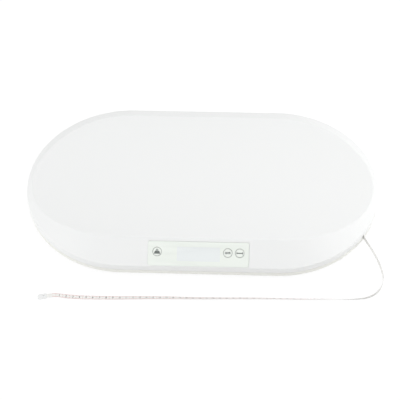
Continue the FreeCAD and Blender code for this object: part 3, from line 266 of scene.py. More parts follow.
# ---------------------------------------------------------------- finishes
@dataclass(frozen=True)
class Finish:
    """A moulded, coated or rubber surface, and the base of every other finish."""

    name: str
    colour: Triple
    slot: str = ""
    tint: float = 0.94
    patch_scale: float = 14.0
    patch_amount: float = 0.35
    grain_scale: float = 900.0
    rough: tuple[float, float] = (0.3, 0.36)
    bump: float = 0.04
    scratches: float = 0.0
    scratch_scale: float = 90.0
    metallic: float = 0.0
    coat: float = 0.0
    coat_rough: float = 0.05
    specular: float = 0.5

    def material(self) -> bpy.types.Material:
        """Make the finish's material the first time that it is asked for.

        Returns:
            The material.
        """
        name = "finish_" + self.name
        known = bpy.data.materials.get(name)
        if known:
            return known
        made = bpy.data.materials.new(name)
        tree = bare_tree(made)
        colour, rough, height = self.surface(tree)
        bump = tree.add("Bump", Strength=self.bump, Distance=BUMP_DEPTH, Height=height)
        shader = tree.add(
            "BsdfPrincipled", Base_Color=colour, Roughness=rough, Metallic=self.metallic,
            Normal=bump.outputs[0], Coat_Weight=self.coat, Coat_Roughness=self.coat_rough,
            Specular_IOR_Level=self.specular)
        tree.add("OutputMaterial", Surface=shader.outputs[0])
        return made

    def rgba(self, share: float = 1.0) -> tuple[float, float, float, float]:
        """Return the colour, darkened to a share."""
        return (*(value * share for value in self.colour), 1.0)

    def grain(self, tree: Tree, rough: tuple[float, float]) -> bpy.types.NodeOutputs:
        """Place the moulded surface with the finish's own values.

        Args:
            tree: Node tree of the material.
            rough: Lowest and highest roughness.

        Returns:
            The outputs Color, Roughness and Height.
        """
        return tree.effect(
            Group.GRAIN, Color=self.rgba(), Tint=self.rgba(self.tint), Patch_Scale=self.patch_scale,
            Patch_Amount=self.patch_amount, Grain_Scale=self.grain_scale, Roughness_Low=rough[0],
            Roughness_High=rough[1])

    def rough_over(self, tree: Tree, mask: Socket) -> Socket:
        """Return a roughness that runs over the finish's range with a mask."""
        return tree.span(mask, 0.0, 1.0, *self.rough)

    def surface(self, tree: Tree) -> Surface:
        """Lay the moulded surface, with hairline scratches where the finish has them.

        Args:
            tree: Node tree of the material.

        Returns:
            The sockets of colour, roughness and height.
        """
        grain = self.grain(tree, self.rough)
        rough = grain["Roughness"]
        if self.scratches:
            worn = tree.effect(Group.SCRATCHES, Scale=self.scratch_scale, Amount=self.scratches)
            rough = tree.maths("ADD", rough, worn["Mask"])
        return grain["Color"], rough, grain["Height"]


@dataclass(frozen=True)
class Metal(Finish):
    """Brushed, drawn or plated metal."""

    metallic: float = 1.0
    stretch: Triple = (60.0, 2400.0, 2400.0)

    def surface(self, tree: Tree) -> Surface:
        """Brush the metal over its own colour.

        Args:
            tree: Node tree of the material.

        Returns:
            The sockets of colour, roughness and height.
        """
        brushed = tree.effect(Group.BRUSHED, Stretch=self.stretch, Roughness_Low=self.rough[0],
                              Roughness_High=self.rough[1])
        return self.grain(tree, (0.0, 1.0))["Color"], brushed["Roughness"], brushed["Height"]


@dataclass(frozen=True)
class Skirt:
    """Front slope of the casing in metres, with its own axes: along, up the slope, outwards."""

    width: float = 0.316
    edge_z: float = 0.027
    run: float = 0.035
    rise: float = 0.026

    def angle(self) -> float:
        """Return the slope's angle from level."""
        return math.atan2(self.rise, self.run)

    def matrix(self, x: float = 0.0, up: float = 0.0) -> Matrix:
        """Return the place of a point on the slope, in metres."""
        base = Matrix.Translation((0.0, -self.width / 2, self.edge_z))
        return base @ Matrix.Rotation(self.angle(), 4, "X") @ Matrix.Translation((x, up, 0.0))


@dataclass(frozen=True)
class WindowFinish(Finish):
    """Clear-coated panel with a pale print and the display's grey view."""

    view_colour: Triple = (0.79, 0.825, 0.825)
    view_level: float = 0.0193
    view_half: Triple = (0.032, 0.0105, 0.02)
    view_edge: float = 0.0004

    def surface(self, tree: Tree) -> Surface:
        """Lay the display's grey view over the panel's print.

        Args:
            tree: Node tree of the material.

        Returns:
            The sockets of colour, roughness and height.
        """
        colour, rough, height = super().surface(tree)
        skirt = Skirt()
        level = tree.moved(tree.where(), Location=(0.0, skirt.width / 2, -skirt.edge_z))
        flat = tree.moved(level, Rotation=(-skirt.angle(), 0.0, 0.0))
        view = tree.effect(Group.BOX, Vector=flat, Centre=(0.0, self.view_level, 0.0), Half=self.view_half,
                           Edge=self.view_edge)
        return tree.mix(view["Mask"], colour, (*self.view_colour, 1.0)), rough, height


@dataclass(frozen=True)
class TapeFinish(Finish):
    """Coated glass-fibre cloth, darker on its back face than on its front."""

    threads: float = 2600.0
    front: float = 0.0072
    back: float = 0.82

    def surface(self, tree: Tree) -> Surface:
        """Weave the cloth and darken its back face.

        Args:
            tree: Node tree of the material.

        Returns:
            The sockets of colour, roughness and height.
        """
        weave = tree.effect(Group.WEAVE, Threads=self.threads)
        behind = tree.maths("GREATER_THAN", tree.parts(tree.where("UV"))[1], self.front)
        clean = tree.mix(behind, self.rgba(), self.rgba(self.back))
        worn = tree.mix(behind, self.rgba(self.tint), self.rgba(self.tint * self.back))
        colour = tree.mix(weave["Mask"], clean, worn)
        return colour, self.rough_over(tree, weave["Mask"]), weave["Height"]


@dataclass(frozen=True)
class CoilFinish(Finish):
    """Edges of tape wound round a centre."""

    centre: tuple[float, float] = (0.0, 0.0)
    pitch: float = 0.0005

    def surface(self, tree: Tree) -> Surface:
        """Draw a ring for each turn of the tape.

        Args:
            tree: Node tree of the material.

        Returns:
            The sockets of colour, roughness and height.
        """
        moved = tree.moved(tree.where(), Location=(-self.centre[0], -self.centre[1], 0.0))
        squares = [tree.maths("MULTIPLY", part, part) for part in tuple(tree.parts(moved))[:2]]
        radius = tree.maths("SQRT", tree.maths("ADD", *squares))
        turn = tree.maths("MULTIPLY", radius, math.tau / self.pitch)
        wave = tree.span(tree.maths("SINE", turn), -1.0, 1.0, 0.0, 1.0)
        return tree.mix(wave, self.rgba(), self.rgba(self.tint)), self.rough_over(tree, wave), wave


@dataclass(frozen=True)
class BoardFinish(Finish):
    """Green solder mask over copper traces in three directions."""

    trace: Triple = (0.03, 0.16, 0.07)
    directions: tuple[float, ...] = (0.0, math.pi / 2, math.pi / 4)
    lanes: float = 3600.0
    lane_spread: tuple[float, float] = (0.55, 0.75)
    cell_scale: float = 90.0
    bare_share: float = 0.62

    def surface(self, tree: Tree) -> Surface:
        """Draw lanes of copper in each direction, broken into short runs.

        Args:
            tree: Node tree of the material.

        Returns:
            The sockets of colour, roughness and height.
        """
        where = tree.where()
        lines = []
        for turn in self.directions:
            turned = tree.moved(where, Rotation=(0.0, 0.0, turn))
            wave = tree.maths("SINE", tree.maths("MULTIPLY", tree.parts(turned)[0], self.lanes))
            lane = tree.span(wave, *self.lane_spread, 0.0, 1.0)
            cells = tree.add("TexVoronoi", {"distance": "CHEBYCHEV"}, Vector=turned, Scale=self.cell_scale)
            chosen = tree.maths("GREATER_THAN", tree.parts(cells.outputs["Color"])[0], self.bare_share)
            lines.append(tree.maths("MULTIPLY", lane, chosen))
        copper = tree.largest(lines)
        colour = tree.mix(copper, self.rgba(), (*self.trace, 1.0))
        return colour, self.rough_over(tree, copper), copper


@dataclass(frozen=True)
class ChipFinish(Finish):
    """Dark packages, with the pale cable socket among them."""

    socket: Triple = (0.78, 0.77, 0.7)
    socket_half: Triple = (0.0081, 0.0072, 0.0059)
    socket_edge: float = 0.0001

    def surface(self, tree: Tree) -> Surface:
        """Pick the cable socket out in its own colour.

        Args:
            tree: Node tree of the material.

        Returns:
            The sockets of colour, roughness and height.
        """
        colour, rough, height = super().surface(tree)
        low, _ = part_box("board_chips")
        here = tree.effect(Group.BOX, Vector=tree.where(), Centre=(0.0, low.y, low.z), Half=self.socket_half,
                           Edge=self.socket_edge)
        return tree.mix(here["Mask"], colour, (*self.socket, 1.0)), rough, height


@dataclass(frozen=True)
class WrapFinish(Finish):
    """Plain printed wrap of the cells: a dark sleeve, a pale band and bare metal ends."""

    band: Triple = (0.75, 0.42, 0.16)
    band_from: tuple[float, float] = (0.0090, 0.0092)
    bare: Triple = (0.7, 0.7, 0.68)
    bare_from: tuple[float, float] = (0.0214, 0.02155)
    pitch: float = 0.0112
    cells: int = 4

    def surface(self, tree: Tree) -> Surface:
        """Wrap the cells, which lie with their bands at alternate ends.

        Args:
            tree: Node tree of the material.

        Returns:
            The sockets of colour, roughness and height.
        """
        colour, rough, height = super().surface(tree)
        first = middle("battery_cells").y - (self.cells - 1) * self.pitch / 2
        parts = tree.parts(tree.where())
        turn = tree.maths("MULTIPLY", tree.maths("SUBTRACT", parts[1], first), math.pi / self.pitch)
        along = tree.maths("MULTIPLY", parts[0], tree.maths("SIGN", tree.maths("COSINE", turn)))
        band = tree.span(along, *self.band_from, 0.0, 1.0)
        end = tree.span(tree.maths("ABSOLUTE", parts[0]), *self.bare_from, 0.0, 1.0)
        wrapped = tree.mix(band, colour, (*self.band, 1.0))
        return tree.mix(end, wrapped, (*self.bare, 1.0)), rough, height


WHITE = Finish("white_gloss", (0.862, 0.87, 0.866), "white_gloss", tint=0.985, rough=(0.33, 0.39), bump=0.012,
               grain_scale=650.0, scratches=0.05, specular=0.24)
GREY = Finish("grey_satin", (0.868, 0.873, 0.825), "grey_gloss", tint=0.97, rough=(0.36, 0.44), bump=0.05,
              scratches=0.04)
COVER = Finish("cover_satin", (0.856, 0.861, 0.813), "grey_gloss", tint=0.97, rough=(0.38, 0.46), bump=0.06)
WINDOW = WindowFinish("window_panel", (0.82, 0.862, 0.812), "window", tint=0.99, rough=(0.12, 0.16),
                      bump=0.01, coat=0.5, coat_rough=0.14)
KEY_CAP = Finish("key_cap", (0.85, 0.885, 0.84), "key_cap", tint=0.98, rough=(0.3, 0.36), bump=0.03)
INK = Finish("grey_ink", (0.14, 0.16, 0.15), tint=0.85, rough=(0.5, 0.6))
# Near-black rubber rings at the bottom of the key gaps: painted shade that deepens the dark outline round
# each key.
KEY_GAP_SHADE = Finish("key_gap_painted_shade", (0.16, 0.17, 0.165), "strip_rubber", rough=(0.7, 0.8), bump=0.15,
              specular=0.3)
GLASS = Finish("display_glass", (0.62, 0.66, 0.64), "lcd", tint=0.95, rough=(0.08, 0.1), bump=0.0, coat=0.5)
DIFFUSER = Finish("light_guide", (0.85, 0.87, 0.86), "diffuser", rough=(0.45, 0.5))
STRIP = Finish("strip_rubber", (0.05, 0.05, 0.055), "strip_rubber", rough=(0.75, 0.85), bump=0.2,
               specular=0.3)
INNER = Finish("inner_moulding", (0.74, 0.74, 0.71), "white_matte", rough=(0.5, 0.62), bump=0.12,
               grain_scale=500.0)
BOARD = BoardFinish("circuit_board", (0.05, 0.24, 0.11), "board_green", rough=(0.3, 0.22), bump=0.3)
CHIPS = ChipFinish("chips", (0.03, 0.03, 0.033), "chip_black", rough=(0.42, 0.5), bump=0.1)
SWITCH = Finish("switch_body", (0.035, 0.035, 0.04), "chip_black", rough=(0.4, 0.5), bump=0.1)
SCREW = Metal("screw_zinc", (0.62, 0.63, 0.64), "screw_steel", rough=(0.25, 0.4), bump=0.08,
              patch_scale=300.0)
WRAP = WrapFinish("cell_wrap", (0.035, 0.045, 0.06), "cell_wrap", rough=(0.25, 0.32), coat=0.3)
NICKEL = Metal("contact_nickel", (0.72, 0.7, 0.65), "contact_nickel", rough=(0.14, 0.24), bump=0.04)
CABLE = Finish("cable_cover", (0.06, 0.06, 0.07), "cable_cover", rough=(0.45, 0.55), bump=0.1)
# Tape guide's own dark moulding, made near-black also as painted shade in the slot mouth where the tape comes
# out.
DARK_ACETAL_SLOT_SHADE = Finish("dark_acetal", (0.035, 0.037, 0.037), "dark_acetal", rough=(0.4, 0.5), bump=0.08)
TAPE = TapeFinish("tape_cloth", (0.862, 0.856, 0.832), "tape", tint=0.96, rough=(0.38, 0.5), bump=0.15)
TAPE_PLAIN = Finish("tape_inside", (0.86, 0.86, 0.83), "tape", rough=(0.4, 0.5), bump=0.1,
                    grain_scale=2500.0)
SPRING = Metal("spring_steel", (0.5, 0.5, 0.52), "spring_steel", rough=(0.2, 0.35),
               stretch=(900.0, 900.0, 5200.0))
TAB = Finish("tab_milky", (0.83, 0.84, 0.835), "tab_grey", tint=0.93, rough=(0.22, 0.3), bump=0.03, coat=0.2)
EYELET = Metal("eyelet_nickel", (0.62, 0.62, 0.63), "rivet_dark", rough=(0.25, 0.36), bump=0.04)
RIVET = Metal("rivet_dark", (0.07, 0.07, 0.075), "rivet_dark", rough=(0.3, 0.42), bump=0.05)
FOOT = Finish("foot_moulding", (0.6, 0.61, 0.6), "foot_grey", rough=(0.45, 0.55), bump=0.1)
PAD = Finish("foot_rubber", (0.27, 0.275, 0.275), "foot_rubber", rough=(0.7, 0.82), bump=0.25,
             grain_scale=1500.0, specular=0.3)
CELL = Metal("cell_steel", (0.6, 0.6, 0.61), "cell_steel", rough=(0.22, 0.38), bump=0.06)
LABEL = Finish("bare_label", (0.66, 0.67, 0.68), rough=(0.3, 0.36), bump=0.02, patch_amount=0.5)
BLACK_PRINT = Finish("black_print", (0.03, 0.03, 0.035), tint=0.8, rough=(0.5, 0.6))
RED_PRINT = Finish("red_print", (0.56, 0.03, 0.05), tint=0.85, rough=(0.5, 0.6))
BUTTON = Finish("button_moulding", (0.34, 0.35, 0.35), "key_cap", rough=(0.42, 0.5), bump=0.1)


def coil_finish() -> CoilFinish:
    """Return the finish of the wound tape, centred on its reel."""
    return CoilFinish("tape_coil", (0.84, 0.84, 0.81), "tape", tint=0.55, rough=(0.45, 0.6), bump=0.3,
                      centre=tuple(middle("tape_coil"))[:2])


# ---------------------------------------------------------------- meshes
def middle(node: str) -> Vector:
    """Return the middle of a node's box."""
    low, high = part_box(node)
    return (low + high) / 2


def arc(x: float, y: float, radius: float, start: float, end: float, steps: int) -> Loop:
    """Return points round a centre, from start to end in degrees."""
    turns = [math.radians(start + (end - start) * i / steps) for i in range(steps + 1)]
    return [(x + radius * math.cos(a), y + radius * math.sin(a)) for a in turns]


def circle(x: float, y: float, radius: float, steps: int = 64) -> Loop:
    """Return the points of a full circle."""
    return arc(x, y, radius, 0.0, 360.0, steps)[:-1]


def rounded(x: float, y: float, length: float, width: float, corner: float) -> Loop:
    """Return a rectangle with round corners.

    Args:
        x: Its middle along X.
        y: Its middle along Y.
        length: Size along X.
        width: Size along Y.
        corner: Radius of its corners.

    Returns:
        The points of its outline.
    """
    a, b = length / 2 - corner, width / 2 - corner
    points: Loop = []
    for side_x, side_y, start in ((1, 1, 0.0), (-1, 1, 90.0), (-1, -1, 180.0), (1, -1, 270.0)):
        points += arc(x + side_x * a, y + side_y * b, corner, start, start + 90.0, CORNER_STEPS)
    return points


def mesh_of(data: bpy.types.Curve) -> bpy.types.Mesh:
    """Turn a curve or text into a mesh.

    Args:
        data: The curve or text, which is used up.

    Returns:
        Its mesh.
    """
    holder = bpy.data.objects.new("holder", data)
    made = bpy.data.meshes.new_from_object(holder)
    bpy.data.objects.remove(holder)
    bpy.data.curves.remove(data)
    return made


def solid_of(data: bpy.types.Curve, level: float) -> Shape:
    """Turn a filled curve or text into a solid.

    Args:
        data: The curve or text, which is used up.
        level: Height of its middle in metres.

    Returns:
        The solid as a new bmesh.
    """
    made = mesh_of(data)
    shape = bmesh.new()
    shape.from_mesh(made)
    bpy.data.meshes.remove(made)
    bmesh.ops.remove_doubles(shape, verts=shape.verts, dist=MERGE)
    bmesh.ops.translate(shape, verts=shape.verts, vec=(0.0, 0.0, level))
    return shape


def flat_shape(loops: Sequence[Loop], low: float, high: float, edge: float = 0.0) -> Shape:
    """Return a plate with holes, standing between two levels.

    Args:
        loops: Outlines in millimetres, with holes inside them.
        low: Level of its underside in millimetres.
        high: Level of its upper side in millimetres.
        edge: Radius of its rounded edges in millimetres.

    Returns:
        The plate as a new bmesh, in metres.
    """
    data = bpy.data.curves.new("flat_shape", "CURVE")
    data.dimensions = "2D"
    data.fill_mode = "BOTH"
    for loop in loops:
        spline = data.splines.new("POLY")
        spline.points.add(len(loop) - 1)
        spline.points.foreach_set("co", [v for x, y in loop for v in (x * MM, y * MM, 0.0, 1.0)])
        spline.use_cyclic_u = True
    data.extrude = ((high - low) / 2 - edge) * MM
    data.bevel_depth = edge * MM
    data.bevel_resolution = EDGE_STEPS
    data.offset = -edge * MM
    return solid_of(data, (low + high) / 2 * MM)


def lathe(profile: Loop, steps: int = 72) -> Shape:
    """Return a turned shape.

    Args:
        profile: Radius and height of each point in millimetres, from the axis out and back to it.
        steps: Faces round the axis.

    Returns:
        The shape as a new bmesh in metres, standing on the axis.
    """
    shape = bmesh.new()
    line = [shape.verts.new((radius * MM, 0.0, height * MM)) for radius, height in profile]
    edges = [shape.edges.new(pair) for pair in zip(line, line[1:])]
    bmesh.ops.spin(shape, geom=line + edges, axis=(0.0, 0.0, 1.0), cent=(0.0, 0.0, 0.0), angle=math.tau,
                   steps=steps, use_merge=True)
    bmesh.ops.remove_doubles(shape, verts=shape.verts, dist=MERGE)
    return shape


def joined(shapes: Sequence[Shape]) -> Shape:
    """Join several shapes.

    Args:
        shapes: Their bmeshes, which are used up.

    Returns:
        All of them as one new bmesh.
    """
    whole = bmesh.new()
    for shape in shapes:
        part = bpy.data.meshes.new("part")
        shape.to_mesh(part)
        shape.free()
        whole.from_mesh(part)
        bpy.data.meshes.remove(part)
    return whole


def stand(name: str, data: bpy.types.ID) -> bpy.types.Object:
    """Put a mesh, lamp or camera into the scene.

    Args:
        name: Name of its object.
        data: The mesh, lamp or camera.

    Returns:
        The new object.
    """
    made = bpy.data.objects.new(name, data)
    bpy.context.scene.collection.objects.link(made)
    return made


def piece(name: str, shape: Shape, finish: Finish, body: str,
          place: Matrix | None = None) -> bpy.types.Object:
    """Turn a shape into a dressed piece that rides on a body.

    Args:
        name: The piece's name.
        shape: Its bmesh, which is used up.
        finish: Its finish.
        body: The body that it moves with.
        place: Where its own axes lie in the frame.

    Returns:
        The new object.
    """
    bmesh.ops.recalc_face_normals(shape, faces=shape.faces)
    if place is not None:
        bmesh.ops.transform(shape, matrix=place, verts=shape.verts)
    mesh = bpy.data.meshes.new(name)
    shape.to_mesh(mesh)
    shape.free()
    for face in mesh.polygons:
        face.use_smooth = True
    mesh.set_sharp_from_angle(angle=CREASE)
    mesh.materials.append(finish.material())
    made = stand(name, mesh)
    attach(made, body)
    LOG.info("%s: %d faces on %s", name, len(mesh.polygons), body)
    return made


def dress(node: str, finish: Finish) -> None:
    """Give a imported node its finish.

    Args:
        node: The node's name.
        finish: Its finish.
    """
    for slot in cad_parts[node].material_slots:
        slot.material = finish.material()
    LOG.info("%s: %s", node, finish.name)


# ---------------------------------------------------------------- sub-assemblies
@dataclass
class Casing:
    """The two shells, their screws and what is sealed inside them."""

    finishes: dict[str, Finish] = field(default_factory=lambda: {
        "top_shell": WHITE, "base_shell": GREY, "casing_screws": SCREW, "lcd_glass": GLASS,
        "lcd_backlight": DIFFUSER, "lcd_contact_strips": STRIP, "lcd_frame": INNER, "display_board": BOARD,
        "board_chips": CHIPS, "board_screws": SCREW, "key_switches": SWITCH, "battery_box": INNER,
        "battery_cells": WRAP, "battery_contacts": NICKEL, "battery_leads": CABLE, "cell_cables": CABLE,
        "tape_case": INNER, "tape_case_lid": INNER, "tape_guide": DARK_ACETAL_SLOT_SHADE, "reel_axle": SCREW,
        "tape_reel": INNER, "tape_lead": TAPE_PLAIN, "rewind_spring": SPRING, "brake_pad": STRIP,
    })
    label_size: tuple[float, float] = (69.2, 33.2)
    label_place: Triple = (-95.0, 0.0, 8.3)
    label_corner: float = 1.5
    label_thick: float = 0.12
    border: float = 1.5
    border_corner: float = 1.0
    border_proud: float = 0.06

    def build(self) -> None:
        """Dress the nodes and lay the bare label in its field."""
        for node, finish in self.finishes.items():
            dress(node, finish)
        dress("tape_coil", coil_finish())
        self.label()

    def label(self) -> None:
        """Lay a bare plate with a raised border in the underside's sunk field."""
        (length, width), (x, y, ceiling) = self.label_size, self.label_place
        outer = rounded(x, y, length, width, self.label_corner)
        inner = rounded(x, y, length - 2 * self.border, width - 2 * self.border, self.border_corner)
        face = ceiling - self.label_thick
        sheet = flat_shape([outer], face, ceiling)
        rim = flat_shape([outer, inner], face - self.border_proud, face)
        piece("bare_label", joined([sheet, rim]), LABEL, "casing")


@dataclass
class Key:
    """One round key: its cap and its printed mark."""

    node: str
    mark: list[Loop]
    level: float
    profile: Loop = field(default_factory=lambda: [
        (0.0, 0.3), (5.2, 0.3), (5.6, 0.285), (5.9, 0.22), (6.1, 0.1), (6.2, -0.1), (6.2, -3.3), (7.8, -3.3),
        (7.8, -4.3), (1.8, -4.3), (1.8, -5.0), (0.0, -5.0),
    ])
    faces: int = 96
    ink: float = 0.03

    def build(self, skirt: Skirt) -> None:
        """Turn the cap and lay the mark on it.

        Args:
            skirt: Slope that the key sits in.
        """
        place = skirt.matrix(middle(self.node).x, self.level * MM)
        cap = piece(self.node + "_cap", lathe(self.profile, self.faces), KEY_CAP, self.node, place)
        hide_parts(self.node)
        top = self.profile[0][1]
        piece(self.node + "_mark", flat_shape(self.mark, top, top + self.ink), INK, self.node, place)


@dataclass
class Display:
    """Window panel, dark rings of painted shade in the key gaps, and keys on the front skirt."""

    skirt: Skirt = field(default_factory=Skirt)
    height: float = 36.5
    start: float = 1.5
    settled: float = 0.38
    thick: float = 1.2
    corner: float = 2.5
    edge: float = 0.22
    key_level: float = 22.2
    hole: float = 6.8
    # Radii and thickness of the dark rings that paint shade into the key gaps.
    seal: tuple[float, float] = (6.3, 7.7)
    seal_thick: float = 0.4

    def build(self) -> None:
        """Build the panel with its holes, the dark rings of painted shade under them, and the keys."""
        low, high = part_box("display_window")
        length = (high.x - low.x) / MM + self.settled
        level = self.start + (self.height - self.settled) / 2
        outline = rounded(-self.settled / 2, level, length, self.height + self.settled, self.corner)
        centres = [middle(key).x / MM for key in KEYS]
        holes = [circle(x, self.key_level, self.hole) for x in centres]
        panel = flat_shape([outline] + holes, -self.thick, 0.0, self.edge)
        window = piece("window_panel", panel, WINDOW, "casing", self.skirt.matrix())
        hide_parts("display_window")
        self.seals(centres)
        for key, mark in zip(KEYS, (self.weight_mark(), self.swap_mark(), self.hold_mark())):
            Key(key, mark, self.key_level).build(self.skirt)

    def seals(self, centres: Sequence[float]) -> None:
        """Lay a thin near-black ring under the panel round each key, as painted shade that darkens the gap
        round the key.

        Args:
            centres: Place of each key along the skirt.
        """
        shapes = []
        for x in centres:
            loops = [circle(x, self.key_level, radius) for radius in self.seal]
            shapes.append(flat_shape(loops, -self.thick - self.seal_thick, -self.thick))
        # Near-black rings under the key holes, painted shade for the gaps round the keys.
        piece("key_gap_shade_rings", joined(shapes), KEY_GAP_SHADE, "casing", self.skirt.matrix())

    def weight_mark(self) -> list[Loop]:
        """Return a weight: a broad foot under a small ring."""
        foot = [(-4.9, -3.3), (4.9, -3.3), (3.2, 1.1), (-3.2, 1.1)]
        return [foot, circle(0.0, 2.4, 1.7, SMALL_STEPS), circle(0.0, 2.4, 0.8, SMALL_STEPS)]

    def swap_mark(self) -> list[Loop]:
        """Return two arrows that point opposite ways."""
        right = [(-4.4, 0.4), (2.0, 0.4), (2.0, -0.15), (4.7, 0.9), (2.0, 1.95), (2.0, 1.4), (-4.4, 1.4)]
        return [right, [(-x, -y) for x, y in right]]

    def hold_mark(self) -> list[Loop]:
        """Return a bar held between two stops."""
        half = [(-4.8, -1.7), (-3.9, -1.7), (-3.9, -0.75), (3.9, -0.75), (3.9, -1.7), (4.8, -1.7)]
        return [half + [(-x, -y) for x, y in half]]


@dataclass
class Underside:
    """Feet, battery cover and release button."""

    pad_radius: float = 17.0
    pad_thick: float = 2.0
    pad_edge: float = 0.8
    rim_steps: int = 5
    grooves: tuple[float, ...] = (5.0, 9.0, 13.0)
    groove_half: float = 0.5
    groove_slope: float = 0.15
    groove_depth: float = 0.45
    grip_inset: float = 6.0
    rib_pitch: float = 2.2
    ribs: int = 5
    rib_size: Triple = (0.9, 13.0, 0.35)
    rib_corner: float = 0.4
    rib_edge: float = 0.15
    arrow_gap: float = 3.4
    arrow_size: tuple[float, float] = (2.0, 2.4)
    ring_size: Triple = (4.4, 5.3, 0.25)
    spring_wire: float = 0.6
    wire_sides: int = 12
    spring_turns: float = 3.0
    spring_steps: int = 108

    def build(self) -> None:
        """Dress the nodes and build what sits on them."""
        for side in SIDES:
            dress("foot_cup_" + side, FOOT)
            dress("foot_clip_" + side, SPRING)
            dress("load_cell_" + side, CELL)
            dress("cell_holder_" + side, INNER)
            self.pad(side)
        dress("battery_cover", COVER)
        dress("release_button", BUTTON)
        self.cover_grip()
        self.button_ring()
        self.return_spring()

    def pad(self, side: str) -> None:
        """Turn a grooved rubber pad.

        Args:
            side: Which foot it is under.
        """
        under: Loop = [(0.0, 0.0)]
        for radius in self.grooves:
            a, b, slope = radius - self.groove_half, radius + self.groove_half, self.groove_slope
            under += [(a, 0.0), (a + slope, self.groove_depth), (b - slope, self.groove_depth), (b, 0.0)]
        edge = self.pad_edge
        rim = arc(self.pad_radius - edge, edge, edge, -90.0, 0.0, self.rim_steps)
        profile = under + rim + [(self.pad_radius, self.pad_thick), (0.0, self.pad_thick)]
        spot = middle("foot_pad_" + side)
        place = Matrix.Translation((spot.x, spot.y, 0.0))
        made = piece("grooved_pad_" + side, lathe(profile), PAD, "foot_" + side, place)
        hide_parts("foot_pad_" + side)

    def cover_grip(self) -> None:
        """Raise ribs and a plain arrow on the battery cover, beside its finger recess."""
        low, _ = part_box("battery_cover")
        x, y, z = low.x / MM + self.grip_inset, middle("battery_cover").y / MM, low.z / MM
        length, width, proud = self.rib_size
        shapes = []
        for i in range(self.ribs):
            rib = rounded(x + i * self.rib_pitch, y, length, width, self.rib_corner)
            shapes.append(flat_shape([rib], z - proud, z + proud, self.rib_edge))
        tip, (run, half) = x - self.arrow_gap, self.arrow_size
        arrow = [(tip, y), (tip + run, y + half), (tip + run, y - half)]
        shapes.append(flat_shape([arrow], z - proud, z + proud))
        piece("cover_grip", joined(shapes), COVER, "battery_cover")

    def button_ring(self) -> None:
        """Raise a ring on the release button's face, under the middle of its return spring."""
        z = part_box("release_button")[0].z / MM
        centre = middle("release_spring") / MM
        inner, outer, proud = self.ring_size
        loops = [circle(centre.x, centre.y, radius) for radius in (outer, inner)]
        piece("button_ring", flat_shape(loops, z - proud, z + proud, proud / 2), BUTTON, "release")

    def return_spring(self) -> None:
        """Wind the release button's return spring."""
        low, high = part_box("release_spring")
        centre, height = (low + high) / 2, high.z - low.z
        radius, wire = (high.x - low.x) / 2, self.spring_wire / 2 * MM
        shape = bmesh.new()
        section = bmesh.ops.create_circle(shape, segments=self.wire_sides, radius=wire)["verts"]
        bmesh.ops.rotate(shape, verts=section, matrix=Matrix.Rotation(math.pi / 2, 3, "X"))
        bmesh.ops.translate(shape, verts=section, vec=(radius - wire, 0.0, wire))
        edges = list(shape.edges)
        shape.faces.new(section)
        step = Vector((0.0, 0.0, (height - 2 * wire) / self.spring_steps))
        wound = bmesh.ops.spin(shape, geom=edges, axis=(0.0, 0.0, 1.0), cent=(0.0, 0.0, 0.0), dvec=step,
                               angle=math.tau * self.spring_turns, steps=self.spring_steps)
        shape.faces.new([v for v in wound["geom_last"] if isinstance(v, bmesh.types.BMVert)])
        place = Matrix.Translation((centre.x, centre.y, low.z))
        spring = piece("release_coil", shape, SPRING, "casing", place)
        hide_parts("release_spring")
        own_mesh(spring)


# ---------------------------------------------------------------- measuring tape
class TapeLine:
    """Centre line of the pulled-out tape, with its lean at every point."""

    RESOLUTION = 16

    def __init__(self, rows: Sequence[tuple[float, float, float, float]], tail: float) -> None:
        """Read the smooth line from a NURBS spline through the route's rows.

        Args:
            rows: X, Y, Z in metres and lean in degrees for each point.
            tail: Straight end that is moulded into the tab.
        """
        self.points = self.spline([row[:3] for row in rows])
        self.leans = [math.radians(p.x / MM) for p in self.spline([(row[3] * MM, 0.0, 0.0) for row in rows])]
        run = Vector(rows[-1][:3]) - Vector(rows[-2][:3])
        self.points.append(self.points[-1] + run.normalized() * tail)
        self.leans.append(self.leans[-1])
        steps = [(b - a).length for a, b in zip(self.points, self.points[1:])]
        self.along = [sum(steps[:i]) for i in range(len(self.points))]
        self.length = self.along[-1]

    def spline(self, rows: Sequence[Triple]) -> list[Vector]:
        """Read the points that Blender gives for a smooth spline.

        Args:
            rows: Its control points.

        Returns:
            The points along it.
        """
        data = bpy.data.curves.new("route", "CURVE")
        data.dimensions = "3D"
        data.resolution_u = self.RESOLUTION
        line = data.splines.new("NURBS")
        line.points.add(len(rows) - 1)
        line.points.foreach_set("co", [v for row in rows for v in (*row, 1.0)])
        line.order_u = 3
        line.use_endpoint_u = True
        made = mesh_of(data)
        points = [v.co.copy() for v in made.vertices]
        bpy.data.meshes.remove(made)
        return points

    def frame_at(self, index: int) -> tuple[Vector, Vector, Vector]:
        """Find the tape's own directions at one point of the line.

        Args:
            index: Which point.

        Returns:
            The directions of travel, width and face.
        """
        before, after = max(index - 1, 0), min(index + 1, len(self.points) - 1)
        travel = (self.points[after] - self.points[before]).normalized()
        left = Vector((-travel.y, travel.x, 0.0)).normalized()
        up = travel.cross(left)
        lean = self.leans[index]
        across = left * math.cos(lean) + up * math.sin(lean)
        return travel, across, up * math.cos(lean) - left * math.sin(lean)

    def place(self, distance: float, across: float, lift: float) -> Vector:
        """Return a point on the tape.

        Args:
            distance: Way along the line, from the slot.
            across: Way towards the tape's left edge.
            lift: Height over the middle of the tape's thickness.

        Returns:
            The point in the frame.
        """
        high = min(max(bisect(self.along, distance), 1), len(self.along) - 1)
        low = high - 1
        share = (distance - self.along[low]) / (self.along[high] - self.along[low])
        ends = []
        for index in (low, high):
            _, side, face = self.frame_at(index)
            ends.append(self.points[index] + side * across + face * lift)
        return ends[0].lerp(ends[1], share)


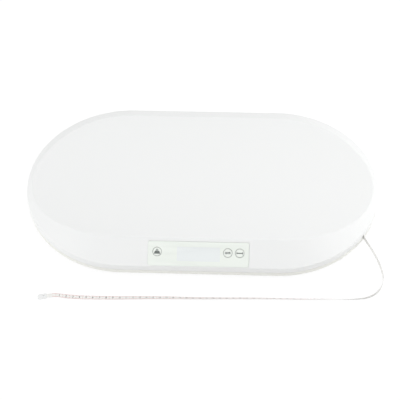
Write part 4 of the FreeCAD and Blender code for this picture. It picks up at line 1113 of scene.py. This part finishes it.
@dataclass
class MeasuringTape:
    """Pulled-out tape with its scale, and the tab on its free end."""

    exit: Triple = (249.510, -86.053, 16.6)
    route: tuple[tuple[float, float, float, float], ...] = (
        (9.5, -14.1, 11.8, 96.0),
        (19.1, -30.3, 7.2, 90.0),
        (25.9, -48.5, 4.4, 84.0),
        (29.3, -69.9, 3.7, 87.0),
        (23.0, -89.3, 3.7, 92.0),
        (8.4, -102.6, 3.7, 80.0),
        (-12.5, -107.1, 3.6, 65.0),
        (-44.5, -107.1, 3.3, 54.0),
        (-91.5, -108.7, 3.0, 47.0),
        (-157.5, -108.7, 2.7, 40.0),
        (-235.5, -110.9, 2.35, 34.0),
        (-307.5, -111.0, 1.7, 21.0),
        (-373.5, -113.1, 1.1, 11.0),
        (-421.5, -113.4, 0.6, 3.0),
        (-447.5, -112.5, 1.6, 0.0),
        (-462.9, -112.6, 5.6, 0.0),
        (-473.9, -113.9, 4.0, 0.0),
    )
    first_lean: float = 90.0
    width: float = 7.0
    thick: float = 0.5
    edge: float = 0.2
    ink: float = 0.03
    tick_width: float = 0.26
    ticks: Triple = (1.3, 2.7, 1.5)
    tail: float = 3.0
    zero: float = 11.5
    last: int = 500
    digit_size: float = 5.0
    condensed: float = 0.66
    tab: Triple = (14.5, 9.0, 1.2)
    tab_corner: float = 2.5
    tab_edge: float = 0.3
    rivet_inset: float = 5.0
    rivet_hole: float = 0.9
    bore: float = 0.62
    flange: Loop = field(default_factory=lambda: [
        (0.62, 0.1), (0.8, 0.35), (1.1, 0.3), (1.45, 0.14), (1.55, 0.0), (0.9, 0.0),
    ])
    pin_proud: float = 0.05
    pin_edge: float = 0.1
    rivet_faces: int = 40
    line: TapeLine = field(init=False)

    def build(self) -> None:
        x, y, z = self.exit
        rows = [(x, y, z, self.first_lean)]
        rows += [(x + dx, y + dy, height, lean) for dx, dy, height, lean in self.route]
        self.line = TapeLine([(a * MM, b * MM, c * MM, lean) for a, b, c, lean in rows], self.tail * MM)
        ribbon = self.ribbon()
        pieces = [self.end_tab()] + self.rivet() + self.scale()
        LOG.info("measuring tape: %.1f mm", self.line.length / MM)

    def section(self) -> Loop:
        """Draw the tape's outline across its width.

        Returns:
            Its points in metres.
        """
        half, thick, edge = self.width / 2 * MM, self.thick / 2 * MM, self.edge * MM
        upper = [(half, 0.0), (half - edge, thick), (0.0, thick), (edge - half, thick)]
        return upper + [(-a, -b) for a, b in upper]

    def ribbon(self) -> bpy.types.Object:
        """Sweep the tape's outline along its line, with a UV map in metres along and around it.

        Returns:
            The ribbon.
        """
        shape = bmesh.new()
        section = self.section()
        rings = []
        for index, point in enumerate(self.line.points):
            _, across, face = self.line.frame_at(index)
            rings.append([shape.verts.new(point + across * a + face * b) for a, b in section])
        uv = shape.loops.layers.uv.new("along_and_around")
        count = len(section)
        sides = [math.dist(section[i], section[(i + 1) % count]) for i in range(count)]
        around = [sum(sides[:i]) for i in range(count + 1)]
        for index, (ring, after) in enumerate(zip(rings, rings[1:])):
            for i in range(count):
                j = (i + 1) % count
                made = shape.faces.new((ring[i], ring[j], after[j], after[i]))
                corners = ((index, i), (index, i + 1), (index + 1, i + 1), (index + 1, i))
                for loop, (row, corner) in zip(made.loops, corners):
                    loop[uv].uv = (self.line.along[row], around[corner])
        shape.faces.new(rings[0])
        shape.faces.new(list(reversed(rings[-1])))
        made = piece("tape_ribbon", shape, TAPE, "casing")
        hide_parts("measuring_tape")
        return made

    def on_tape(self, shape: Shape, start: float) -> Shape:
        """Bend a flat print onto the tape's face.

        Args:
            shape: Print with X away from the free end, Y towards the far edge and Z out of the tape.
            start: Distance of its own origin from the free end.

        Returns:
            The same bmesh.
        """
        face = self.thick / 2 * MM
        for vert in shape.verts:
            distance = self.line.length - start - vert.co.x
            vert.co = self.line.place(distance, -vert.co.y, face + vert.co.z)
        return shape

    def tick(self, length: float, far: bool) -> Shape:
        """Draw one scale line that starts at an edge of the tape.

        Args:
            length: How far it reaches in from the edge, in millimetres.
            far: Whether it starts at the far edge.

        Returns:
            The flat line as a new bmesh.
        """
        half, reach = self.tick_width / 2, self.width / 2
        ends = (reach - length, reach - self.edge)
        low, high = ends if far else (-ends[1], -ends[0])
        return flat_shape([[(-half, low), (half, low), (half, high), (-half, high)]], 0.0, self.ink)

    def digits(self, number: int) -> Shape:
        """Draw a plain number, centred on its line and set narrow where it has two digits.

        Args:
            number: What it says.

        Returns:
            The flat number as a new bmesh.
        """
        data = bpy.data.curves.new("digits", "FONT")
        data.body = str(number)
        data.size = self.digit_size * MM
        data.align_x = "CENTER"
        data.align_y = "CENTER"
        data.extrude = self.ink / 2 * MM
        shape = solid_of(data, self.ink / 2 * MM)
        if number > 9:
            bmesh.ops.scale(shape, verts=shape.verts, vec=(self.condensed, 1.0, 1.0))
        return shape

    def scale(self) -> list[bpy.types.Object]:
        """Print a red line at every millimetre and a black number at every centimetre.

        Returns:
            The black and the red print.
        """
        black, red = [], []
        for millimetre in range(self.last + 1):
            level = 2 if millimetre % 10 == 0 else 1 if millimetre % 5 == 0 else 0
            start = (self.zero + millimetre) * MM
            red += [self.on_tape(self.tick(self.ticks[level], far), start) for far in (True, False)]
            if level == 2 and millimetre:
                black.append(self.on_tape(self.digits(millimetre // 10), start))
        return [piece("tape_scale_black", joined(black), BLACK_PRINT, "casing"),
                piece("tape_scale_red", joined(red), RED_PRINT, "casing")]

    def end_place(self) -> Matrix:
        """Find the tab's own axes: along the tape, to its left, up.

        Returns:
            Their place in the frame.
        """
        (x0, y0, z0, _), (x1, y1, z1, _) = self.route[-2:]
        run = Vector((x1 - x0, y1 - y0, z1 - z0)).normalized()
        left = Vector((-run.y, run.x, 0.0)).normalized()
        axes = Matrix((run, left, run.cross(left))).transposed().to_4x4()
        start = Vector((self.exit[0] + x1, self.exit[1] + y1, z1)) * MM
        return Matrix.Translation(start) @ axes

    def end_tab(self) -> bpy.types.Object:
        """Mould the milky tab with rounded edges and a hole for the rivet.

        Returns:
            The tab.
        """
        length, width, thick = self.tab
        loops = [rounded(length / 2, 0.0, length, width, self.tab_corner),
                 circle(self.rivet_inset, 0.0, self.rivet_hole, SMALL_STEPS)]
        shape = flat_shape(loops, -thick / 2, thick / 2, self.tab_edge)
        made = piece("tape_tab", shape, TAB, "casing", self.end_place())
        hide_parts("tape_end_tab")
        return made

    def rivet(self) -> list[bpy.types.Object]:
        """Turn the tab's eyelet, rolled over on both sides, and the dark pin in it.

        Returns:
            The eyelet and the pin.
        """
        top = self.tab[2] / 2
        half = [(radius, top + proud) for radius, proud in self.flange]
        loop = half + [(radius, -height) for radius, height in reversed(half)]
        place = self.end_place() @ Matrix.Translation((self.rivet_inset * MM, 0.0, 0.0))
        ring = lathe(loop + loop[:1], self.rivet_faces)
        eyelet = piece("tape_eyelet", ring, EYELET, "casing", place)
        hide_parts("tape_end_rivet")
        reach, bore, edge = top + self.pin_proud, self.bore, self.pin_edge
        pin = [(0.0, reach), (bore - edge, reach), (bore, reach - edge)]
        pin += [(radius, -height) for radius, height in reversed(pin)]
        return [eyelet, piece("tape_eyelet_pin", lathe(pin, self.rivet_faces), RIVET, "casing", place)]


# ---------------------------------------------------------------- studio
def seen(tree: Tree) -> Socket:
    """Return 1 for the rays that show the background: straight, mirrored or through glass."""
    path = tree.add("LightPath").outputs
    return tree.largest(path[f"Is {kind} Ray"] for kind in ("Camera", "Glossy", "Transmission"))


@dataclass
class Lamp:
    """One soft area light, placed by its direction: degrees round from the front, and up."""

    name: str
    around: float
    up: float
    watts: float
    distance: float = 2.0
    size: tuple[float, float] = (2.4, 1.8)

    def build(self) -> None:
        """Hang the lamp and turn it to the middle of the scale."""
        data = bpy.data.lights.new(self.name, "AREA")
        data.shape = "RECTANGLE"
        data.size, data.size_y = self.size
        data.energy = self.watts
        around, up = math.radians(self.around), math.radians(self.up)
        level = self.distance * math.cos(up)
        place = Vector((level * math.sin(around), -level * math.cos(around), self.distance * math.sin(up)))
        made = stand(self.name, data)
        made.location = place
        made.rotation_euler = (-place).to_track_quat("-Z", "Y").to_euler()


@dataclass
class Studio:
    """White floor, soft light and the camera."""

    floor_half: float = 6.0
    floor_share: float = 0.85
    floor_glow: float = 1.06
    floor_colour: Triple = (0.93, 0.93, 0.93)
    world_light: float = 0.3
    lamps: tuple[Lamp, ...] = (
        Lamp("right_softbox", 90.0, 28.0, 22.0),
        Lamp("left_front_softbox", -45.0, 28.0, 14.4),
        Lamp("left_softbox", -90.0, 28.0, 12.8),
        Lamp("back_softbox", 180.0, 28.0, 7.0),
        Lamp("high_right_softbox", 45.0, 60.0, 7.8),
        Lamp("high_back_softbox", 135.0, 60.0, 6.8),
    )
    camera_place: Triple = (0.07015, -1.30619, 1.61083)
    camera_roll: float = -1.182
    sensor: float = 36.0
    lens: float = 117.8
    shift: tuple[float, float] = (-0.0059, -0.0086)
    clip: tuple[float, float] = (0.05, 50.0)

    def build(self) -> None:
        """Lay the floor, set the light and place the camera."""
        self.floor()
        self.world()
        for lamp in self.lamps:
            lamp.build()
        self.camera()
        bpy.context.scene.view_settings.view_transform = "Standard"

    def floor(self) -> None:
        """Lay a floor that shows white and keeps a soft shadow."""
        shape = bmesh.new()
        bmesh.ops.create_grid(shape, x_segments=1, y_segments=1, size=self.floor_half)
        mesh = bpy.data.meshes.new("studio_floor")
        shape.to_mesh(mesh)
        shape.free()
        made = bpy.data.materials.new("studio_floor")
        tree = bare_tree(made)
        share = tree.maths("MULTIPLY", seen(tree), self.floor_share)
        paint = tree.add("BsdfDiffuse", Color=(*self.floor_colour, 1.0)).outputs[0]
        glow = tree.add("Emission", Color=(1.0, 1.0, 1.0, 1.0), Strength=self.floor_glow).outputs[0]
        mixed = tree.add("MixShader", i0=share, i1=paint, i2=glow).outputs[0]
        clear = tree.add("BsdfTransparent").outputs[0]
        behind = tree.add("NewGeometry").outputs["Backfacing"]
        tree.add("OutputMaterial", Surface=tree.add("MixShader", i0=behind, i1=mixed, i2=clear).outputs[0])
        mesh.materials.append(made)
        stand("studio_floor", mesh)

    def world(self) -> None:
        """Light from a plain world, which shows and reflects as white."""
        world = bpy.data.worlds.new("studio_world")
        tree = bare_tree(world)
        strength = tree.span(seen(tree), 0.0, 1.0, self.world_light, 1.0)
        glow = tree.add("Background", Color=(1.0, 1.0, 1.0, 1.0), Strength=strength).outputs[0]
        tree.add("OutputWorld", Surface=glow)
        bpy.context.scene.world = world

    def camera(self) -> None:
        """Place the camera, looking at the middle of the scale's footprint."""
        data = bpy.data.cameras.new("camera")
        data.sensor_width = self.sensor
        data.lens = self.lens
        data.shift_x, data.shift_y = self.shift
        data.clip_start, data.clip_end = self.clip
        back = Vector(self.camera_place).normalized()
        right = Vector((0.0, 0.0, 1.0)).cross(back).normalized()
        axes = Matrix((right, back.cross(right), back)).transposed().to_4x4()
        roll = Matrix.Rotation(math.radians(self.camera_roll), 4, "Z")
        made = stand("camera", data)
        made.matrix_world = Matrix.Translation(self.camera_place) @ axes @ roll
        bpy.context.scene.camera = made


def main() -> None:
    """Build every sub-assembly and the studio."""
    logging.basicConfig(level=logging.INFO, format="%(name)s: %(message)s")
    build_groups()
    for assembly in (Studio(), MeasuringTape(), Casing(), Display(), Underside()):
        assembly.build()
        LOG.info("%s is built", type(assembly).__name__)


if __name__ == "__main__":
    main()
